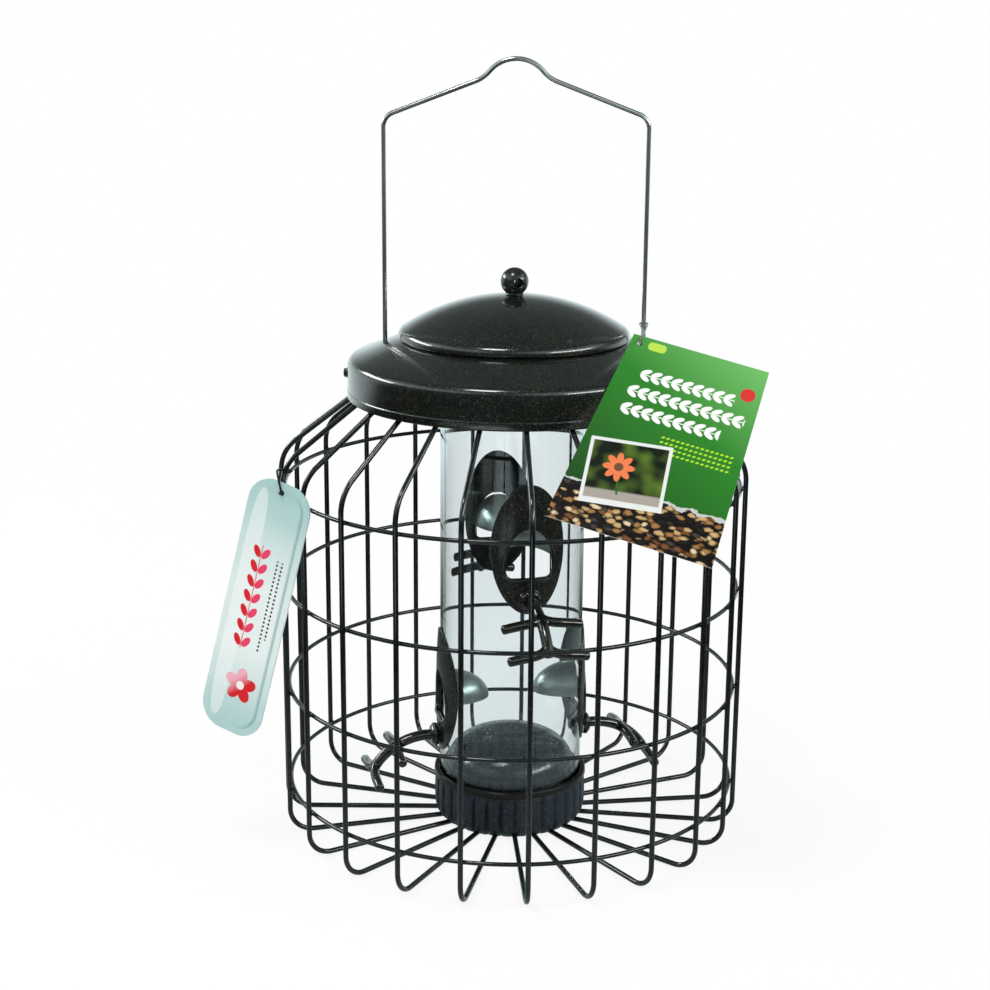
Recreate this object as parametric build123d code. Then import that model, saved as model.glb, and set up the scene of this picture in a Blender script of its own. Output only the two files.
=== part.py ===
from build123d import *
import os
from math import asin, atan, cos, degrees, hypot, pi, radians, sin, sqrt, tan

os.makedirs("parts", exist_ok=True)

# Squirrel proof bird feeder: a wire cage round a clear seed tube with four ports.
# Origin at the middle of the floor plate's underside, +Z up, -Y towards the front.

# Fits
weld_gap = 0.05
seat_gap = 0.1
shank_gap = 0.1
plate_gap = 0.1
overrun = 5.0

# Cage wires
upright_count = 23
first_upright_azimuth = 211.9
upright_wire = 2.7
cage_radius = 121.4
floor_bend = 12.5
shoulder_drop = 30.9
shoulder_bend = 20.0
hem_clearance = 0.3
ring_wire = 2.2
ring_count = 4
lowest_ring = 24.9
top_ring_drop = 14.11
floor_bend_chords = 3
shoulder_bend_chords = 2
hoop_chords = 5
wire_sides = 6
head_sides = 12
shank_sides = 8

# Floor plate and its screws
floor_plate_radius = 24.0
base_screw_count = 3
base_screw_circle_radius = 14.0
base_screw_shank = 1.5
base_screw_head = 2.9
base_screw_sink = 1.5

# Roof
roof_height = 232.9
roof_radius = 86.0
roof_sheet = 0.9
roof_skirt = 19.5
roof_slope = 21.0
roof_shoulder = 4.5
hem_fold = 4.0
hem_step = 0.3
neck_length = 14.5

# Feed tube
tube_radius = 38.0
tube_wall = 2.0
tube_end_inset = 2.3
neck_fit = 0.3
rivet_count = 3
rivet_radius = 1.6
rivet_drop = 5.5
rivet_head = 3.0
rivet_head_height = 1.0

# Lid and knob
lid_overlap = 20.1
lid_sheet = 0.9
lid_bead = 1.2
lid_rim = 2.5
lid_dome_radius = 106.0
lid_corner = 3.0
knob_radius = 7.2
knob_neck = 4.6
knob_neck_height = 1.2
knob_sides = 16
knob_level_count = 6
knob_bore_radius = 2.5
knob_bore_azimuth = 287.0
knob_screw_shank = 1.5
knob_screw_head = 2.8
knob_screw_head_height = 1.8
knob_screw_margin = 1.0

# Handle and the brackets under the roof
handle_wire = 2.4
handle_lid_gap = 5.65
handle_shoulder = 374.2
handle_shoulder_bend = 7.5
handle_slope = 22.2
hoop_half_width = 15.2
hoop_slope = 50.0
hoop_radius = 18.3
hoop_foot_bend = 6.0
handle_hole_gap = 0.3
foot_head_radius = 2.4
foot_head_height = 1.2
bracket_width = 10.0
bracket_sheet = 1.5
bracket_tab = 10.5
bracket_inner_margin = 5.5
band_wall = 1.5
band_inset = 5.5
roof_screw_drop = 5.4
roof_screw_shank = 1.4
roof_screw_head = 2.3
roof_screw_head_height = 2.2
roof_screw_length = 4.5

# Ports, each with a plate, a hood and a perch
upper_port_height = 160.0
lower_port_height = 73.7
upper_port_azimuths = (283.4, 103.4)
lower_port_azimuths = (193.4, 13.4)
plate_thickness = 2.9
plate_half_width = 19.2
plate_half_height = 34.3
plate_sides = 20
wall_sides = 40
opening_half_width = 12.4
opening_spring = -8.7
opening_crown = 11.0
opening_floor = -15.3
opening_corner = 5.0
opening_arc_chords = 8
sill_wire = 2.2
perch_drop = 26.0
hood_depth = 23.5
hood_half_width = 14.2
hood_height = 15.5
hood_foot = -5.0
hood_sheet = 1.2
hood_levels = 3
hood_tip_angle = 84.0
hood_chords = 6

# Perches
collar_radius = 6.4
collar_height = 2.2
collar_step_radius = 4.4
collar_step_height = 1.0
perch_wire = 5.0
perch_straight = 4.0
perch_bend = 38.0
perch_bend_angle = 55.0
perch_bend_chords = 4
collar_sides = 12
arm_wire = 4.5
arm_reach = 21.0
arm_lead = 7.5
arm_drop = 2.5
arm_shares = ((1.0, 1.0), (0.43, 0.85), (0.18, 0.5))
arm_root_angles = (17.0, 41.0)
spigot_radius = 1.6
nut_size = 2.75
nut_height = 2.4

# Base cap and seed deflector
cap_height = 24.35
cap_wall = 2.7
cap_floor = 2.4
cap_fit = 0.2
cap_lobes = 32
cap_sides = 48
first_crease_azimuth = 271.6
crease_depth = 1.6
cap_foot_rounding = 3.0
cap_lip_height = 3.4
cap_lip_flare = 0.3
deflector_gap = 1.5
deflector_wall_height = 24.0
deflector_height = 40.6
deflector_top_radius = 11.0
deflector_sheet = 1.2
deflector_chords = 2
deflector_sides = 24

# Printed card and its thread
card_facing_angle = -5.0
card_lean_angle = 42.0
card_turn_angle = -17.1
card_top_width = 68.0
card_bottom_width = 81.0
card_length = 106.5
card_sheet = 0.4
card_hole_margin = 4.3
card_hole_radius = 1.3
card_hole_inset = 5.7
card_hole_forward = 57.4
card_rest_gap = 0.6
card_wire_azimuth = 302.0
card_wire_count = 3
rim_touch_azimuth = 300.0
thread_size = 1.0
thread_knot = 1.4
thread_edge_gap = 1.4

# Strip tag and its loop
tag_facing_angle = -25.0
tag_lean_angle = 5.0
tag_turn_angle = -13.0
tag_width = 36.0
tag_length = 135.0
tag_sheet = 1.0
tag_corner = 13.0
tag_corner_chords = 4
tag_hole_margin = 5.0
tag_hole_radius = 1.4
tag_hole_inset = 8.5
tag_hole_rise = 7.9
tag_rest_gap = 0.4
tag_ring_azimuth = 216.0
loop_size = 1.2
loop_rise = 11.5
loop_bulge = 4.0
loop_knot = 1.8
loop_gap = 0.6
loop_edge_gap = 3.0


def rounded(points, bends, chord_counts):
    """Puts a bend of the given radius at each inner corner, as chords."""
    out = [Vector(*points[0])]
    for before, corner, after, bend, chords in zip(points, points[1:], points[2:], bends, chord_counts):
        corner = Vector(*corner)
        back = (Vector(*before) - corner).normalized()
        ahead = (Vector(*after) - corner).normalized()
        half_turn = (pi - radians(back.get_angle(ahead))) / 2
        centre = corner + (back + ahead).normalized() * (bend / cos(half_turn))
        first = corner + back * (bend * tan(half_turn)) - centre
        last = corner + ahead * (bend * tan(half_turn)) - centre
        for i in range(chords + 1):
            share = i / chords
            low = sin((1 - share) * 2 * half_turn) / sin(2 * half_turn)
            high = sin(share * 2 * half_turn) / sin(2 * half_turn)
            out.append(centre + first * low + last * high)
    return out + [Vector(*points[-1])]


def wire(points, size, side, sides=wire_sides):
    """Sweeps a flat-sided round along points; side points across the first run."""
    points = [Vector(*p) for p in points]
    start = Plane(origin=points[0], x_dir=side, z_dir=points[1] - points[0])
    section = start * RegularPolygon(size / 2, sides, major_radius=False, rotation=90 - 180 / sides)
    return sweep(section, path=Polyline(*points), transition=Transition.RIGHT)


def turned(points):
    """Revolves an outline of (radius, height) points about Z."""
    outline = make_face(Polyline(*[(r, 0, z) for r, z in points], close=True))
    return revolve(outline, Axis.Z)


def turned_round(azimuth, height, shape):
    return Pos(0, 0, height) * Rot(0, 0, azimuth) * shape


def peg(radius, start, end, sides=shank_sides):
    """A small round along Z, with its corners on the radius."""
    return Pos(0, 0, start) * extrude(RegularPolygon(radius, sides), end - start)


def hole(radius, start, end, sides=shank_sides):
    """Room along Z for a round of this radius."""
    return Pos(0, 0, start) * extrude(RegularPolygon(radius, sides, major_radius=False), end - start)


def corners(radius, sides, height):
    return [polar(radius, i * 360 / sides, height) for i in range(sides)]


def stacked(levels, halved=False):
    """Flat sides between outlines that have the same number of points."""
    outlines = [levels[0], levels[-1]]
    for low, high in zip(levels, levels[1:]):
        for i in range(len(low)):
            if halved:
                outlines += [(low[i - 1], low[i], high[i]), (low[i - 1], high[i], high[i - 1])]
            else:
                outlines.append((low[i - 1], low[i], high[i], high[i - 1]))
    return Solid(Shell([make_face(Polyline(*outline, close=True)) for outline in outlines]))


def along_x(shape):
    return Rot(0, 90, 0) * shape


def polar(radius, azimuth, height):
    return Vector(radius * cos(radians(azimuth)), radius * sin(radians(azimuth)), height)


def save(shape, node):
    export_step(shape, "parts/" + node + ".step")


def save_all(shapes, node):
    save(Compound(children=list(shapes)), node)


# Wire cage
roof_skin_height = roof_sheet / cos(radians(roof_slope))
hem_inner_radius = roof_radius - 2 * roof_sheet
hem_reach = cage_radius - hem_inner_radius
shoulder_height = roof_height - shoulder_drop
hem_rise = shoulder_drop
cage_slope = atan(hem_rise / hem_reach)
cage_slope = cage_slope - asin((upright_wire / 2 + hem_clearance) / hypot(hem_rise, hem_reach))
neck_radius = tube_radius + neck_fit
lid_bead_circle = neck_radius + lid_overlap
lid_radius = lid_bead_circle + lid_bead
handle_half_width = lid_radius + handle_lid_gap + handle_wire / 2
shoulder_run = roof_shoulder * tan(radians(90 - roof_slope) / 2)
bracket_top = roof_height + roof_skirt - shoulder_run - seat_gap
bracket_outer_radius = roof_radius - hem_step - roof_sheet - weld_gap
band_outer_radius = hem_inner_radius - band_inset
band_top = bracket_top - bracket_sheet - weld_gap
upright_end_radius = band_outer_radius + weld_gap + sin(cage_slope) * upright_wire / 2
upright_end_height = shoulder_height + (cage_radius - upright_end_radius) * tan(cage_slope)
upright_start_radius = floor_plate_radius + weld_gap
upright_azimuths = [first_upright_azimuth + i * 360 / upright_count for i in range(upright_count)]
upright_route = rounded(
    [
        (upright_start_radius, 0, upright_wire / 2),
        (cage_radius, 0, upright_wire / 2),
        (cage_radius, 0, shoulder_height),
        (upright_end_radius, 0, upright_end_height),
    ],
    [floor_bend, shoulder_bend],
    [floor_bend_chords, shoulder_bend_chords],
)
upright = wire(upright_route, upright_wire, (0, 1, 0))
for i, azimuth in enumerate(upright_azimuths):
    save(Rot(0, 0, azimuth) * upright, f"cage_upright_{i + 1:02d}")

ring_sides = 2 * upright_count
ring_turn = first_upright_azimuth - 180 / ring_sides
ring_outer_radius = cage_radius - upright_wire / 2 - weld_gap
ring_inner_radius = ring_outer_radius - ring_wire
ring_rise = ring_wire / 2 * cos(pi / 6)
ring_step = ring_wire / 4


def ring_stack(radius, step):
    """One side of a ring's six-sided section, as a stack of outlines."""
    levels = [(-ring_rise, step), (0, 0), (ring_rise, step)]
    corner = 1 / cos(pi / ring_sides)
    return stacked([corners((radius + change) * corner, ring_sides, height) for height, change in levels])


ring = ring_stack(ring_outer_radius, -ring_step) - ring_stack(ring_inner_radius, ring_step)
ring_pitch = (shoulder_height - top_ring_drop - lowest_ring) / (ring_count - 1)
ring_heights = [lowest_ring + i * ring_pitch for i in range(ring_count)]
for i, height in enumerate(ring_heights):
    save(turned_round(ring_turn, height, ring), f"cage_ring_{i + 1}")

band_bottom = upright_end_height - upright_wire
band_height = band_top - band_bottom
band = Cylinder(band_outer_radius, band_height, align=(Align.CENTER, Align.CENTER, Align.MIN))
band = band - Cylinder(band_outer_radius - band_wall, 3 * band_height)
save(Pos(0, 0, band_bottom) * band, "cage_top_ring")

floor_plate = extrude(
    RegularPolygon(floor_plate_radius, ring_sides, major_radius=False, rotation=ring_turn), upright_wire
)
cap_bottom = upright_wire + weld_gap
base_screw_top = cap_bottom + cap_floor


def sunk_head(radius, shank, depth):
    return stacked([corners(radius, shank_sides, 0), corners(shank, shank_sides, depth)])


base_screw = sunk_head(base_screw_head, base_screw_shank, base_screw_sink)
base_screw = base_screw + peg(base_screw_shank, 0, base_screw_top)
screw_room_radius = base_screw_shank + 2 * shank_gap
base_screw_room = sunk_head(base_screw_head + 2 * shank_gap, screw_room_radius, base_screw_sink + shank_gap)
base_screw_room = base_screw_room + peg(screw_room_radius, 0, base_screw_top)
base_screw_places = [
    Pos(*polar(base_screw_circle_radius, 90 + i * 360 / base_screw_count, 0)) for i in range(base_screw_count)
]
for place in base_screw_places:
    floor_plate = floor_plate - place * base_screw_room
save(floor_plate, "cage_floor_plate")
save_all([place * base_screw for place in base_screw_places], "base_screws")

# Roof
slope_rise = tan(radians(roof_slope))


def roof_top(radius):
    return roof_height + roof_skirt + (roof_radius - radius) * slope_rise


roof_corner = rounded(
    [
        (roof_radius - hem_step, 0, roof_height),
        (roof_radius - hem_step, 0, roof_top(roof_radius)),
        (neck_radius, 0, roof_top(neck_radius)),
    ],
    [roof_shoulder],
    [2],
)[1:-1]
hem_top = roof_height + hem_fold
neck_outer_radius = neck_radius + roof_sheet
skirt_inner_radius = roof_radius - hem_step - roof_sheet
roof_outline = [
    (roof_radius, roof_height),
    (roof_radius, hem_top),
    (roof_radius - hem_step, hem_top),
]
roof_outline += [(p.X, p.Z) for p in roof_corner]
roof_outline += [
    (neck_radius, roof_top(neck_radius)),
    (neck_radius, roof_top(neck_radius) - neck_length),
    (neck_outer_radius, roof_top(neck_radius) - neck_length),
    (neck_outer_radius, roof_top(neck_outer_radius) - roof_skin_height),
    (skirt_inner_radius - shoulder_run, roof_top(skirt_inner_radius - shoulder_run) - roof_skin_height),
    (skirt_inner_radius, roof_top(roof_radius) - shoulder_run),
    (skirt_inner_radius, hem_top),
    (hem_inner_radius, roof_height),
]
roof = turned(roof_outline)
handle_feet = [handle_half_width, -handle_half_width]
for x in handle_feet:
    room = hole(handle_wire / 2 + handle_hole_gap, -overrun, overrun, head_sides)
    roof = roof - Pos(x, 0, roof_top(handle_half_width)) * room
roof_screw_height = bracket_top - roof_screw_drop
side_hole = along_x(hole(roof_screw_shank + shank_gap, -roof_radius - overrun, roof_radius + overrun))
roof = roof - Pos(0, 0, roof_screw_height) * side_hole

tube_top = roof_top(neck_radius) - tube_end_inset
rivet_height = tube_top - rivet_drop
rivet_azimuths = [90 + i * 360 / rivet_count for i in range(rivet_count)]
rivet_hole = along_x(hole(rivet_radius + shank_gap, tube_radius - overrun, tube_radius + overrun))
for azimuth in rivet_azimuths:
    roof = roof - turned_round(azimuth, rivet_height, rivet_hole)
save(roof, "roof")

# Rivets through the neck and the tube
tube_inner_radius = tube_radius - tube_wall


def flat_seat(radius, reach):
    """How far out a flat disc of this reach can lie inside a round wall."""
    return sqrt(radius**2 - reach**2)


rivet_seat = flat_seat(tube_inner_radius - weld_gap, rivet_head)
rivet = peg(rivet_radius, rivet_seat - rivet_head_height / 2, neck_outer_radius + rivet_head_height / 2)
rivet = rivet + peg(rivet_head, rivet_seat - rivet_head_height, rivet_seat)
rivet = rivet + peg(rivet_head, neck_outer_radius + weld_gap, neck_outer_radius + rivet_head_height)
rivet = along_x(rivet)
save_all([turned_round(azimuth, rivet_height, rivet) for azimuth in rivet_azimuths], "tube_rivets")

# Handle, its brackets and the screws in the skirt
hoop_foot_height = handle_shoulder + (handle_half_width - hoop_half_width) * tan(radians(handle_slope))
hoop_peak_height = hoop_foot_height + hoop_half_width * tan(radians(hoop_slope))
foot_height = bracket_top - bracket_sheet - weld_gap - foot_head_height
handle_route = rounded(
    [
        (handle_half_width, 0, foot_height),
        (handle_half_width, 0, handle_shoulder),
        (hoop_half_width, 0, hoop_foot_height),
        (0, 0, hoop_peak_height),
        (-hoop_half_width, 0, hoop_foot_height),
        (-handle_half_width, 0, handle_shoulder),
        (-handle_half_width, 0, foot_height),
    ],
    [handle_shoulder_bend, hoop_foot_bend, hoop_radius, hoop_foot_bend, handle_shoulder_bend],
    [shoulder_bend_chords, 1, hoop_chords, 1, shoulder_bend_chords],
)
handle = wire(handle_route, handle_wire, (0, 1, 0))
for x in handle_feet:
    handle = handle + Pos(x, 0, foot_height) * peg(foot_head_radius, 0, foot_head_height, head_sides)
save(handle, "handle")

bracket_start = handle_half_width - bracket_inner_margin
bracket_run = bracket_outer_radius - bracket_start
strip = Pos(bracket_start + bracket_run / 2, 0, bracket_top - bracket_sheet / 2) * Box(
    bracket_run + overrun, bracket_width, bracket_sheet
)
strip = strip & Cylinder(bracket_outer_radius, 4 * bracket_top)
tab = Cylinder(bracket_outer_radius, bracket_tab) - Cylinder(bracket_outer_radius - bracket_sheet, 2 * bracket_tab)
tab = tab & Pos(bracket_outer_radius, 0, 0) * Box(bracket_run, bracket_width, bracket_tab)
bracket = strip + Pos(0, 0, bracket_top - bracket_tab / 2) * tab
bracket = bracket - Pos(handle_half_width, 0, bracket_top) * hole(
    handle_wire / 2 / cos(pi / wire_sides) + weld_gap, -overrun, overrun, head_sides
)
bracket = bracket - Pos(0, 0, roof_screw_height) * along_x(
    hole(roof_screw_shank + weld_gap, bracket_outer_radius - overrun, roof_radius)
)
save_all([bracket, Rot(0, 0, 180) * bracket], "side_brackets")

roof_screw_face = roof_radius - hem_step + weld_gap
roof_screw_end = roof_screw_face + roof_screw_head_height
roof_screw = peg(roof_screw_shank, roof_screw_face - roof_screw_length, roof_screw_end)
roof_screw = roof_screw + peg(roof_screw_head, roof_screw_face, roof_screw_end, head_sides)
roof_screw = Pos(0, 0, roof_screw_height) * along_x(roof_screw)
save_all([roof_screw, Rot(0, 0, 180) * roof_screw], "roof_screws")

# Lid, knob and knob screw
bead_height = roof_top(lid_bead_circle) + (lid_bead + seat_gap) / cos(radians(roof_slope))
lid_edge_height = bead_height + lid_rim
lid_dome_base = lid_edge_height - flat_seat(lid_dome_radius, lid_radius)
lid_top = lid_dome_base + lid_dome_radius
lid_dome_shares = (0.75, 0.4)
lid_inner_shares = (0.6,)


def dome_height(radius):
    return lid_dome_base + flat_seat(lid_dome_radius, radius)


lid_corner_points = rounded(
    [
        (lid_radius, 0, bead_height),
        (lid_radius, 0, lid_edge_height),
        (lid_radius * lid_dome_shares[0], 0, dome_height(lid_radius * lid_dome_shares[0])),
    ],
    [lid_corner],
    [1],
)[:-1]
lid_outline = [(p.X, p.Z) for p in lid_corner_points]
lid_outline += [(lid_radius * share, dome_height(lid_radius * share)) for share in lid_dome_shares]
lid_outline += [(knob_neck, lid_top), (0, lid_top)]
lid_outline += [(0, lid_top - lid_sheet), (knob_neck, lid_top - lid_sheet)]
lid_inner_radius = lid_radius - lid_sheet
lid_outline += [
    (lid_inner_radius * share, dome_height(lid_inner_radius * share) - lid_sheet)
    for share in reversed(lid_inner_shares)
]
lid_outline += [(lid_inner_radius, lid_edge_height - lid_sheet - lid_corner / 2)]
bead_flank = lid_bead * cos(radians(45))
lid_outline += [
    (lid_inner_radius, bead_height + bead_flank),
    (lid_bead_circle - lid_bead, bead_height),
    (lid_bead_circle, bead_height - lid_bead),
    (lid_bead_circle + bead_flank, bead_height - bead_flank),
]
lid = turned(lid_outline)
lid = lid - Pos(0, 0, lid_top) * hole(knob_screw_shank + shank_gap, -overrun, overrun)
save(lid, "lid")

knob_foot = lid_top + weld_gap
knob_neck_rise = sqrt(knob_radius**2 - knob_neck**2)
knob_height = knob_foot + knob_neck_height + knob_neck_rise
knob_levels = [corners(knob_neck, knob_sides, knob_foot)]
knob_low_angle = degrees(asin(knob_neck_rise / knob_radius))
knob_high_angle = 80
for i in range(knob_level_count):
    angle = radians(-knob_low_angle + i * (knob_high_angle + knob_low_angle) / (knob_level_count - 1))
    knob_levels.append(corners(knob_radius * cos(angle), knob_sides, knob_height + knob_radius * sin(angle)))
knob = stacked(knob_levels)
knob_screw_tip = knob_height - knob_bore_radius - knob_screw_margin
screw_room = hole(knob_screw_shank + weld_gap, knob_foot - overrun, knob_screw_tip + weld_gap)
knob_bore = Rot(0, 0, knob_bore_azimuth) * Rot(0, 90, 0) * Cylinder(knob_bore_radius, 4 * knob_radius)
knob = knob - screw_room - Pos(0, 0, knob_height) * knob_bore
save(knob, "knob")

knob_screw_seat = lid_top - lid_sheet - weld_gap
knob_screw_start = knob_screw_seat - knob_screw_head_height
knob_screw = peg(knob_screw_head, knob_screw_start, knob_screw_seat, head_sides)
knob_screw = knob_screw + peg(knob_screw_shank, knob_screw_start, knob_screw_tip)
save(knob_screw, "knob_screw")

# Base cap
cap_bore = tube_radius + cap_fit
cap_radius = cap_bore + cap_wall
cap_top = cap_bottom + cap_height
cap_floor_top = cap_bottom + cap_floor
lobe_shares = (0.3, 0.7)
# height share of the foot rounding, radius share of it, crease share
cap_level_shares = ((0.0, 0.8, 1.0), (0.8, 0.0, 0.9))


def lobe_outline(radius, depth, height):
    points = []
    for i in range(cap_lobes):
        step = 360 / cap_lobes
        start = first_crease_azimuth + i * step
        points.append(polar(radius - depth, start, height))
        points += [polar(radius, start + step * share, height) for share in lobe_shares]
    return points


cap_levels = [
    lobe_outline(
        cap_radius - inward * cap_foot_rounding,
        crease * crease_depth,
        cap_bottom + upward * cap_foot_rounding,
    )
    for upward, inward, crease in cap_level_shares
]
lip_bottom = cap_top - cap_lip_height
cap_levels.append(lobe_outline(cap_radius, crease_depth / 8, lip_bottom))
base_cap = stacked(cap_levels, halved=True)
base_cap = base_cap + peg(cap_radius + cap_lip_flare, lip_bottom, cap_top, cap_sides)
base_cap = base_cap - hole(cap_bore, cap_floor_top, cap_top + overrun, cap_sides)
for place in base_screw_places:
    base_cap = base_cap - place * hole(base_screw_shank + weld_gap, 0, cap_top)
save(base_cap, "base_cap")

# Seed deflector
deflector_radius = tube_inner_radius - deflector_gap
deflector_foot = cap_floor_top + seat_gap
quarter_steps = [i * 90 / deflector_chords for i in range(deflector_chords + 1)]


def hat(wall_radius, height):
    """A wall and a domed top, as a stack of outlines."""
    outlines = [corners(wall_radius, deflector_sides, deflector_foot)]
    for angle in quarter_steps:
        reach = (wall_radius - deflector_top_radius) * cos(radians(angle))
        climb = (height - deflector_wall_height) * sin(radians(angle))
        level = deflector_foot + deflector_wall_height + climb
        outlines.append(corners(deflector_top_radius + reach, deflector_sides, level))
    return stacked(outlines)


deflector = hat(deflector_radius, deflector_height)
deflector = deflector - hat(deflector_radius - deflector_sheet, deflector_height - deflector_sheet)
save(deflector, "seed_deflector")

# Ports, built facing +X and then turned to their places
ports = [(azimuth, upper_port_height) for azimuth in upper_port_azimuths]
ports += [(azimuth, lower_port_height) for azimuth in lower_port_azimuths]
plate_inner_radius = tube_radius + plate_gap
plate_outer_radius = plate_inner_radius + plate_thickness


def slab(outline, start, end):
    """A prism along X over an outline of (side, height) points."""
    face = make_face(Polyline(*[(start, y, z) for y, z in outline], close=True))
    return extrude(face, amount=end - start, dir=(1, 0, 0))


def opening_outline(grow):
    half_width = opening_half_width + grow
    points = []
    for i in range(opening_arc_chords + 1):
        angle = pi * i / opening_arc_chords
        rise = opening_crown + grow - opening_spring
        points.append((half_width * cos(angle), opening_spring + rise * sin(angle)))
    corner = opening_corner + grow
    floor_height = opening_floor - grow
    for side, angles in ((-1, (180, 270)), (1, (270, 360))):
        for angle in angles:
            y = side * (half_width - corner) + corner * cos(radians(angle))
            points.append((y, floor_height + corner + corner * sin(radians(angle))))
    return points


plate_outline = []
for i in range(plate_sides):
    angle = 2 * pi * i / plate_sides
    plate_outline.append((plate_half_width * cos(angle), plate_half_height * sin(angle)))
plate_reach = 2 * plate_half_height
plate = hole(plate_outer_radius, -plate_reach, plate_reach, wall_sides)
plate = plate - hole(plate_inner_radius, -plate_reach, plate_reach, wall_sides)
plate = plate & slab(plate_outline, 0, plate_outer_radius + overrun)
plate = plate - slab(opening_outline(0), 0, plate_outer_radius + overrun)
spigot_hole = Pos(0, 0, -perch_drop) * along_x(hole(spigot_radius + shank_gap, 0, plate_outer_radius + overrun))
plate = plate - spigot_hole
sill_outline = opening_outline(sill_wire / 2)[opening_arc_chords:]
sill_route = [(sqrt(plate_outer_radius**2 - y**2), y, z) for y, z in sill_outline]
plate = plate + wire(sill_route, sill_wire, (1, 0, 0), 6)

hood_wall_radius = tube_inner_radius - seat_gap


def hood_form(depth, half_width, height, below):
    sections = []
    for i in range(-1, hood_levels + 1):
        angle = radians(max(i, 0) * hood_tip_angle / hood_levels)
        shrink = cos(angle)
        x = hood_wall_radius - depth * sin(angle) + (overrun if i < 0 else 0)
        points = []
        for j in range(hood_chords + 1):
            turn = pi * j / hood_chords
            y = half_width * shrink * cos(turn)
            points.append((x, y, hood_foot + height * shrink * sin(turn)))
        if below:
            points.append((x, -half_width * shrink, hood_foot - below))
            points.append((x, half_width * shrink, hood_foot - below))
        sections.append(points)
    return stacked(sections)


hood = hood_form(hood_depth, hood_half_width, hood_height, 0)
hood = hood - hood_form(
    hood_depth - hood_sheet, hood_half_width - hood_sheet, hood_height - hood_sheet, overrun
)
hood = hood & peg(hood_wall_radius, -2 * hood_height, 2 * hood_height, wall_sides)

collar_face = plate_outer_radius + collar_height
stem_start = collar_face + collar_step_height + weld_gap
collar = peg(collar_radius, plate_inner_radius, collar_face, collar_sides)
collar = collar + peg(collar_step_radius, plate_inner_radius, collar_face + collar_step_height, collar_sides)
collar = along_x(collar - hole(spigot_radius + weld_gap, 0, stem_start))
collar = collar - hole(plate_outer_radius + weld_gap, -2 * collar_radius, 2 * collar_radius, wall_sides)
nut_seat = flat_seat(tube_inner_radius - weld_gap, nut_size / cos(pi / 6))
nut = hole(nut_size, nut_seat - nut_height, nut_seat, 6)
nut = along_x(nut - hole(spigot_radius + weld_gap, 0, nut_seat))

bend_start = stem_start + perch_straight


def stem_point(angle):
    a = radians(angle)
    return Vector(bend_start + perch_bend * sin(a), 0, -perch_bend * (1 - cos(a)))


stem_route = [Vector(stem_start, 0, 0)]
stem_route += [stem_point(i * perch_bend_angle / perch_bend_chords) for i in range(perch_bend_chords + 1)]
perch = wire(stem_route, perch_wire, (0, 1, 0))
perch = perch + along_x(peg(spigot_radius, nut_seat - nut_height, stem_start + perch_straight / 2))
for angle in arm_root_angles:
    root = stem_point(angle)
    ahead = Vector(cos(radians(angle)), 0, -sin(radians(angle))) * arm_lead
    arm = []
    for side_share, lead_share in arm_shares:
        drop = arm_drop * side_share**2
        arm.append(root + ahead * lead_share + Vector(0, arm_reach * side_share, -drop))
    other = [Vector(p.X, -p.Y, p.Z) for p in arm]
    perch = perch + wire(arm + [root] + other[::-1], arm_wire, (0, 0, 1))

tube_height = tube_top - deflector_foot
tube = Cylinder(tube_radius, tube_height) - Cylinder(tube_inner_radius, 2 * tube_height)
tube = Pos(0, 0, deflector_foot + tube_height / 2) * tube
tube_cut = [
    (side * opening_half_width, height) for side, height in
    ((-1, opening_floor), (1, opening_floor), (1, opening_crown), (-1, opening_crown))
]
tube_opening = slab(tube_cut, 0, tube_radius + overrun) + spigot_hole
for azimuth, height in ports:
    tube = tube - turned_round(azimuth, height, tube_opening)
for azimuth in rivet_azimuths:
    tube = tube - turned_round(azimuth, rivet_height, rivet_hole)
save(tube, "feed_tube")

perch_parts = [Pos(0, 0, -perch_drop) * shape for shape in (perch, collar, nut)]
for i, (azimuth, height) in enumerate(ports):
    save(turned_round(azimuth, height, plate), f"port_plate_{i + 1}")
    save(turned_round(azimuth, height, hood), f"port_hood_{i + 1}")
    save(turned_round(azimuth, height, perch_parts[0]), f"perch_{i + 1}")
save_all([turned_round(azimuth, height, perch_parts[1]) for azimuth, height in ports], "perch_collars")
save_all([turned_round(azimuth, height, perch_parts[2]) for azimuth, height in ports], "perch_nuts")


# Hanging labels
def facing_frame(facing, lean, turn):
    """Normal, right and up of a sheet that faces the front, leant back and turned."""
    f, t, s = radians(facing), radians(lean), radians(turn)
    normal = Vector(sin(f) * cos(t), -cos(f) * cos(t), sin(t))
    side = Vector(cos(f), sin(f), 0)
    up = normal.cross(side)
    return normal, side * cos(s) + up * sin(s), up * cos(s) - side * sin(s)


def wire_reach(normal, azimuths):
    """How far the cage's wires reach along a direction."""
    reach = [normal.dot(polar(p.X, a, p.Z)) for p in upright_route[1:] for a in azimuths]
    return max(reach) + upright_wire / 2


card_normal, card_right, card_up = facing_frame(card_facing_angle, card_lean_angle, card_turn_angle)
card_wires = sorted(upright_azimuths, key=lambda a: -cos(radians(a - card_wire_azimuth)))[:card_wire_count]
rim_reach = card_normal.dot(polar(roof_radius, rim_touch_azimuth, roof_top(roof_radius) - shoulder_run))
card_back = max(wire_reach(card_normal, card_wires), rim_reach) + card_rest_gap
card_hole_x = handle_half_width - card_hole_inset
card_hole_z = card_back - card_normal.X * card_hole_x + card_normal.Y * card_hole_forward
card_hole = Vector(card_hole_x, -card_hole_forward, card_hole_z / card_normal.Z)
card_plane = Plane(origin=card_hole, x_dir=card_right, z_dir=card_normal)
card_middle = card_top_width / 2 - card_hole_margin
card_low = card_hole_margin - card_length
card_outline = [
    (-card_hole_margin, card_hole_margin),
    (card_top_width - card_hole_margin, card_hole_margin),
    (card_middle + card_bottom_width / 2, card_low),
    (card_middle - card_bottom_width / 2, card_low),
]
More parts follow.
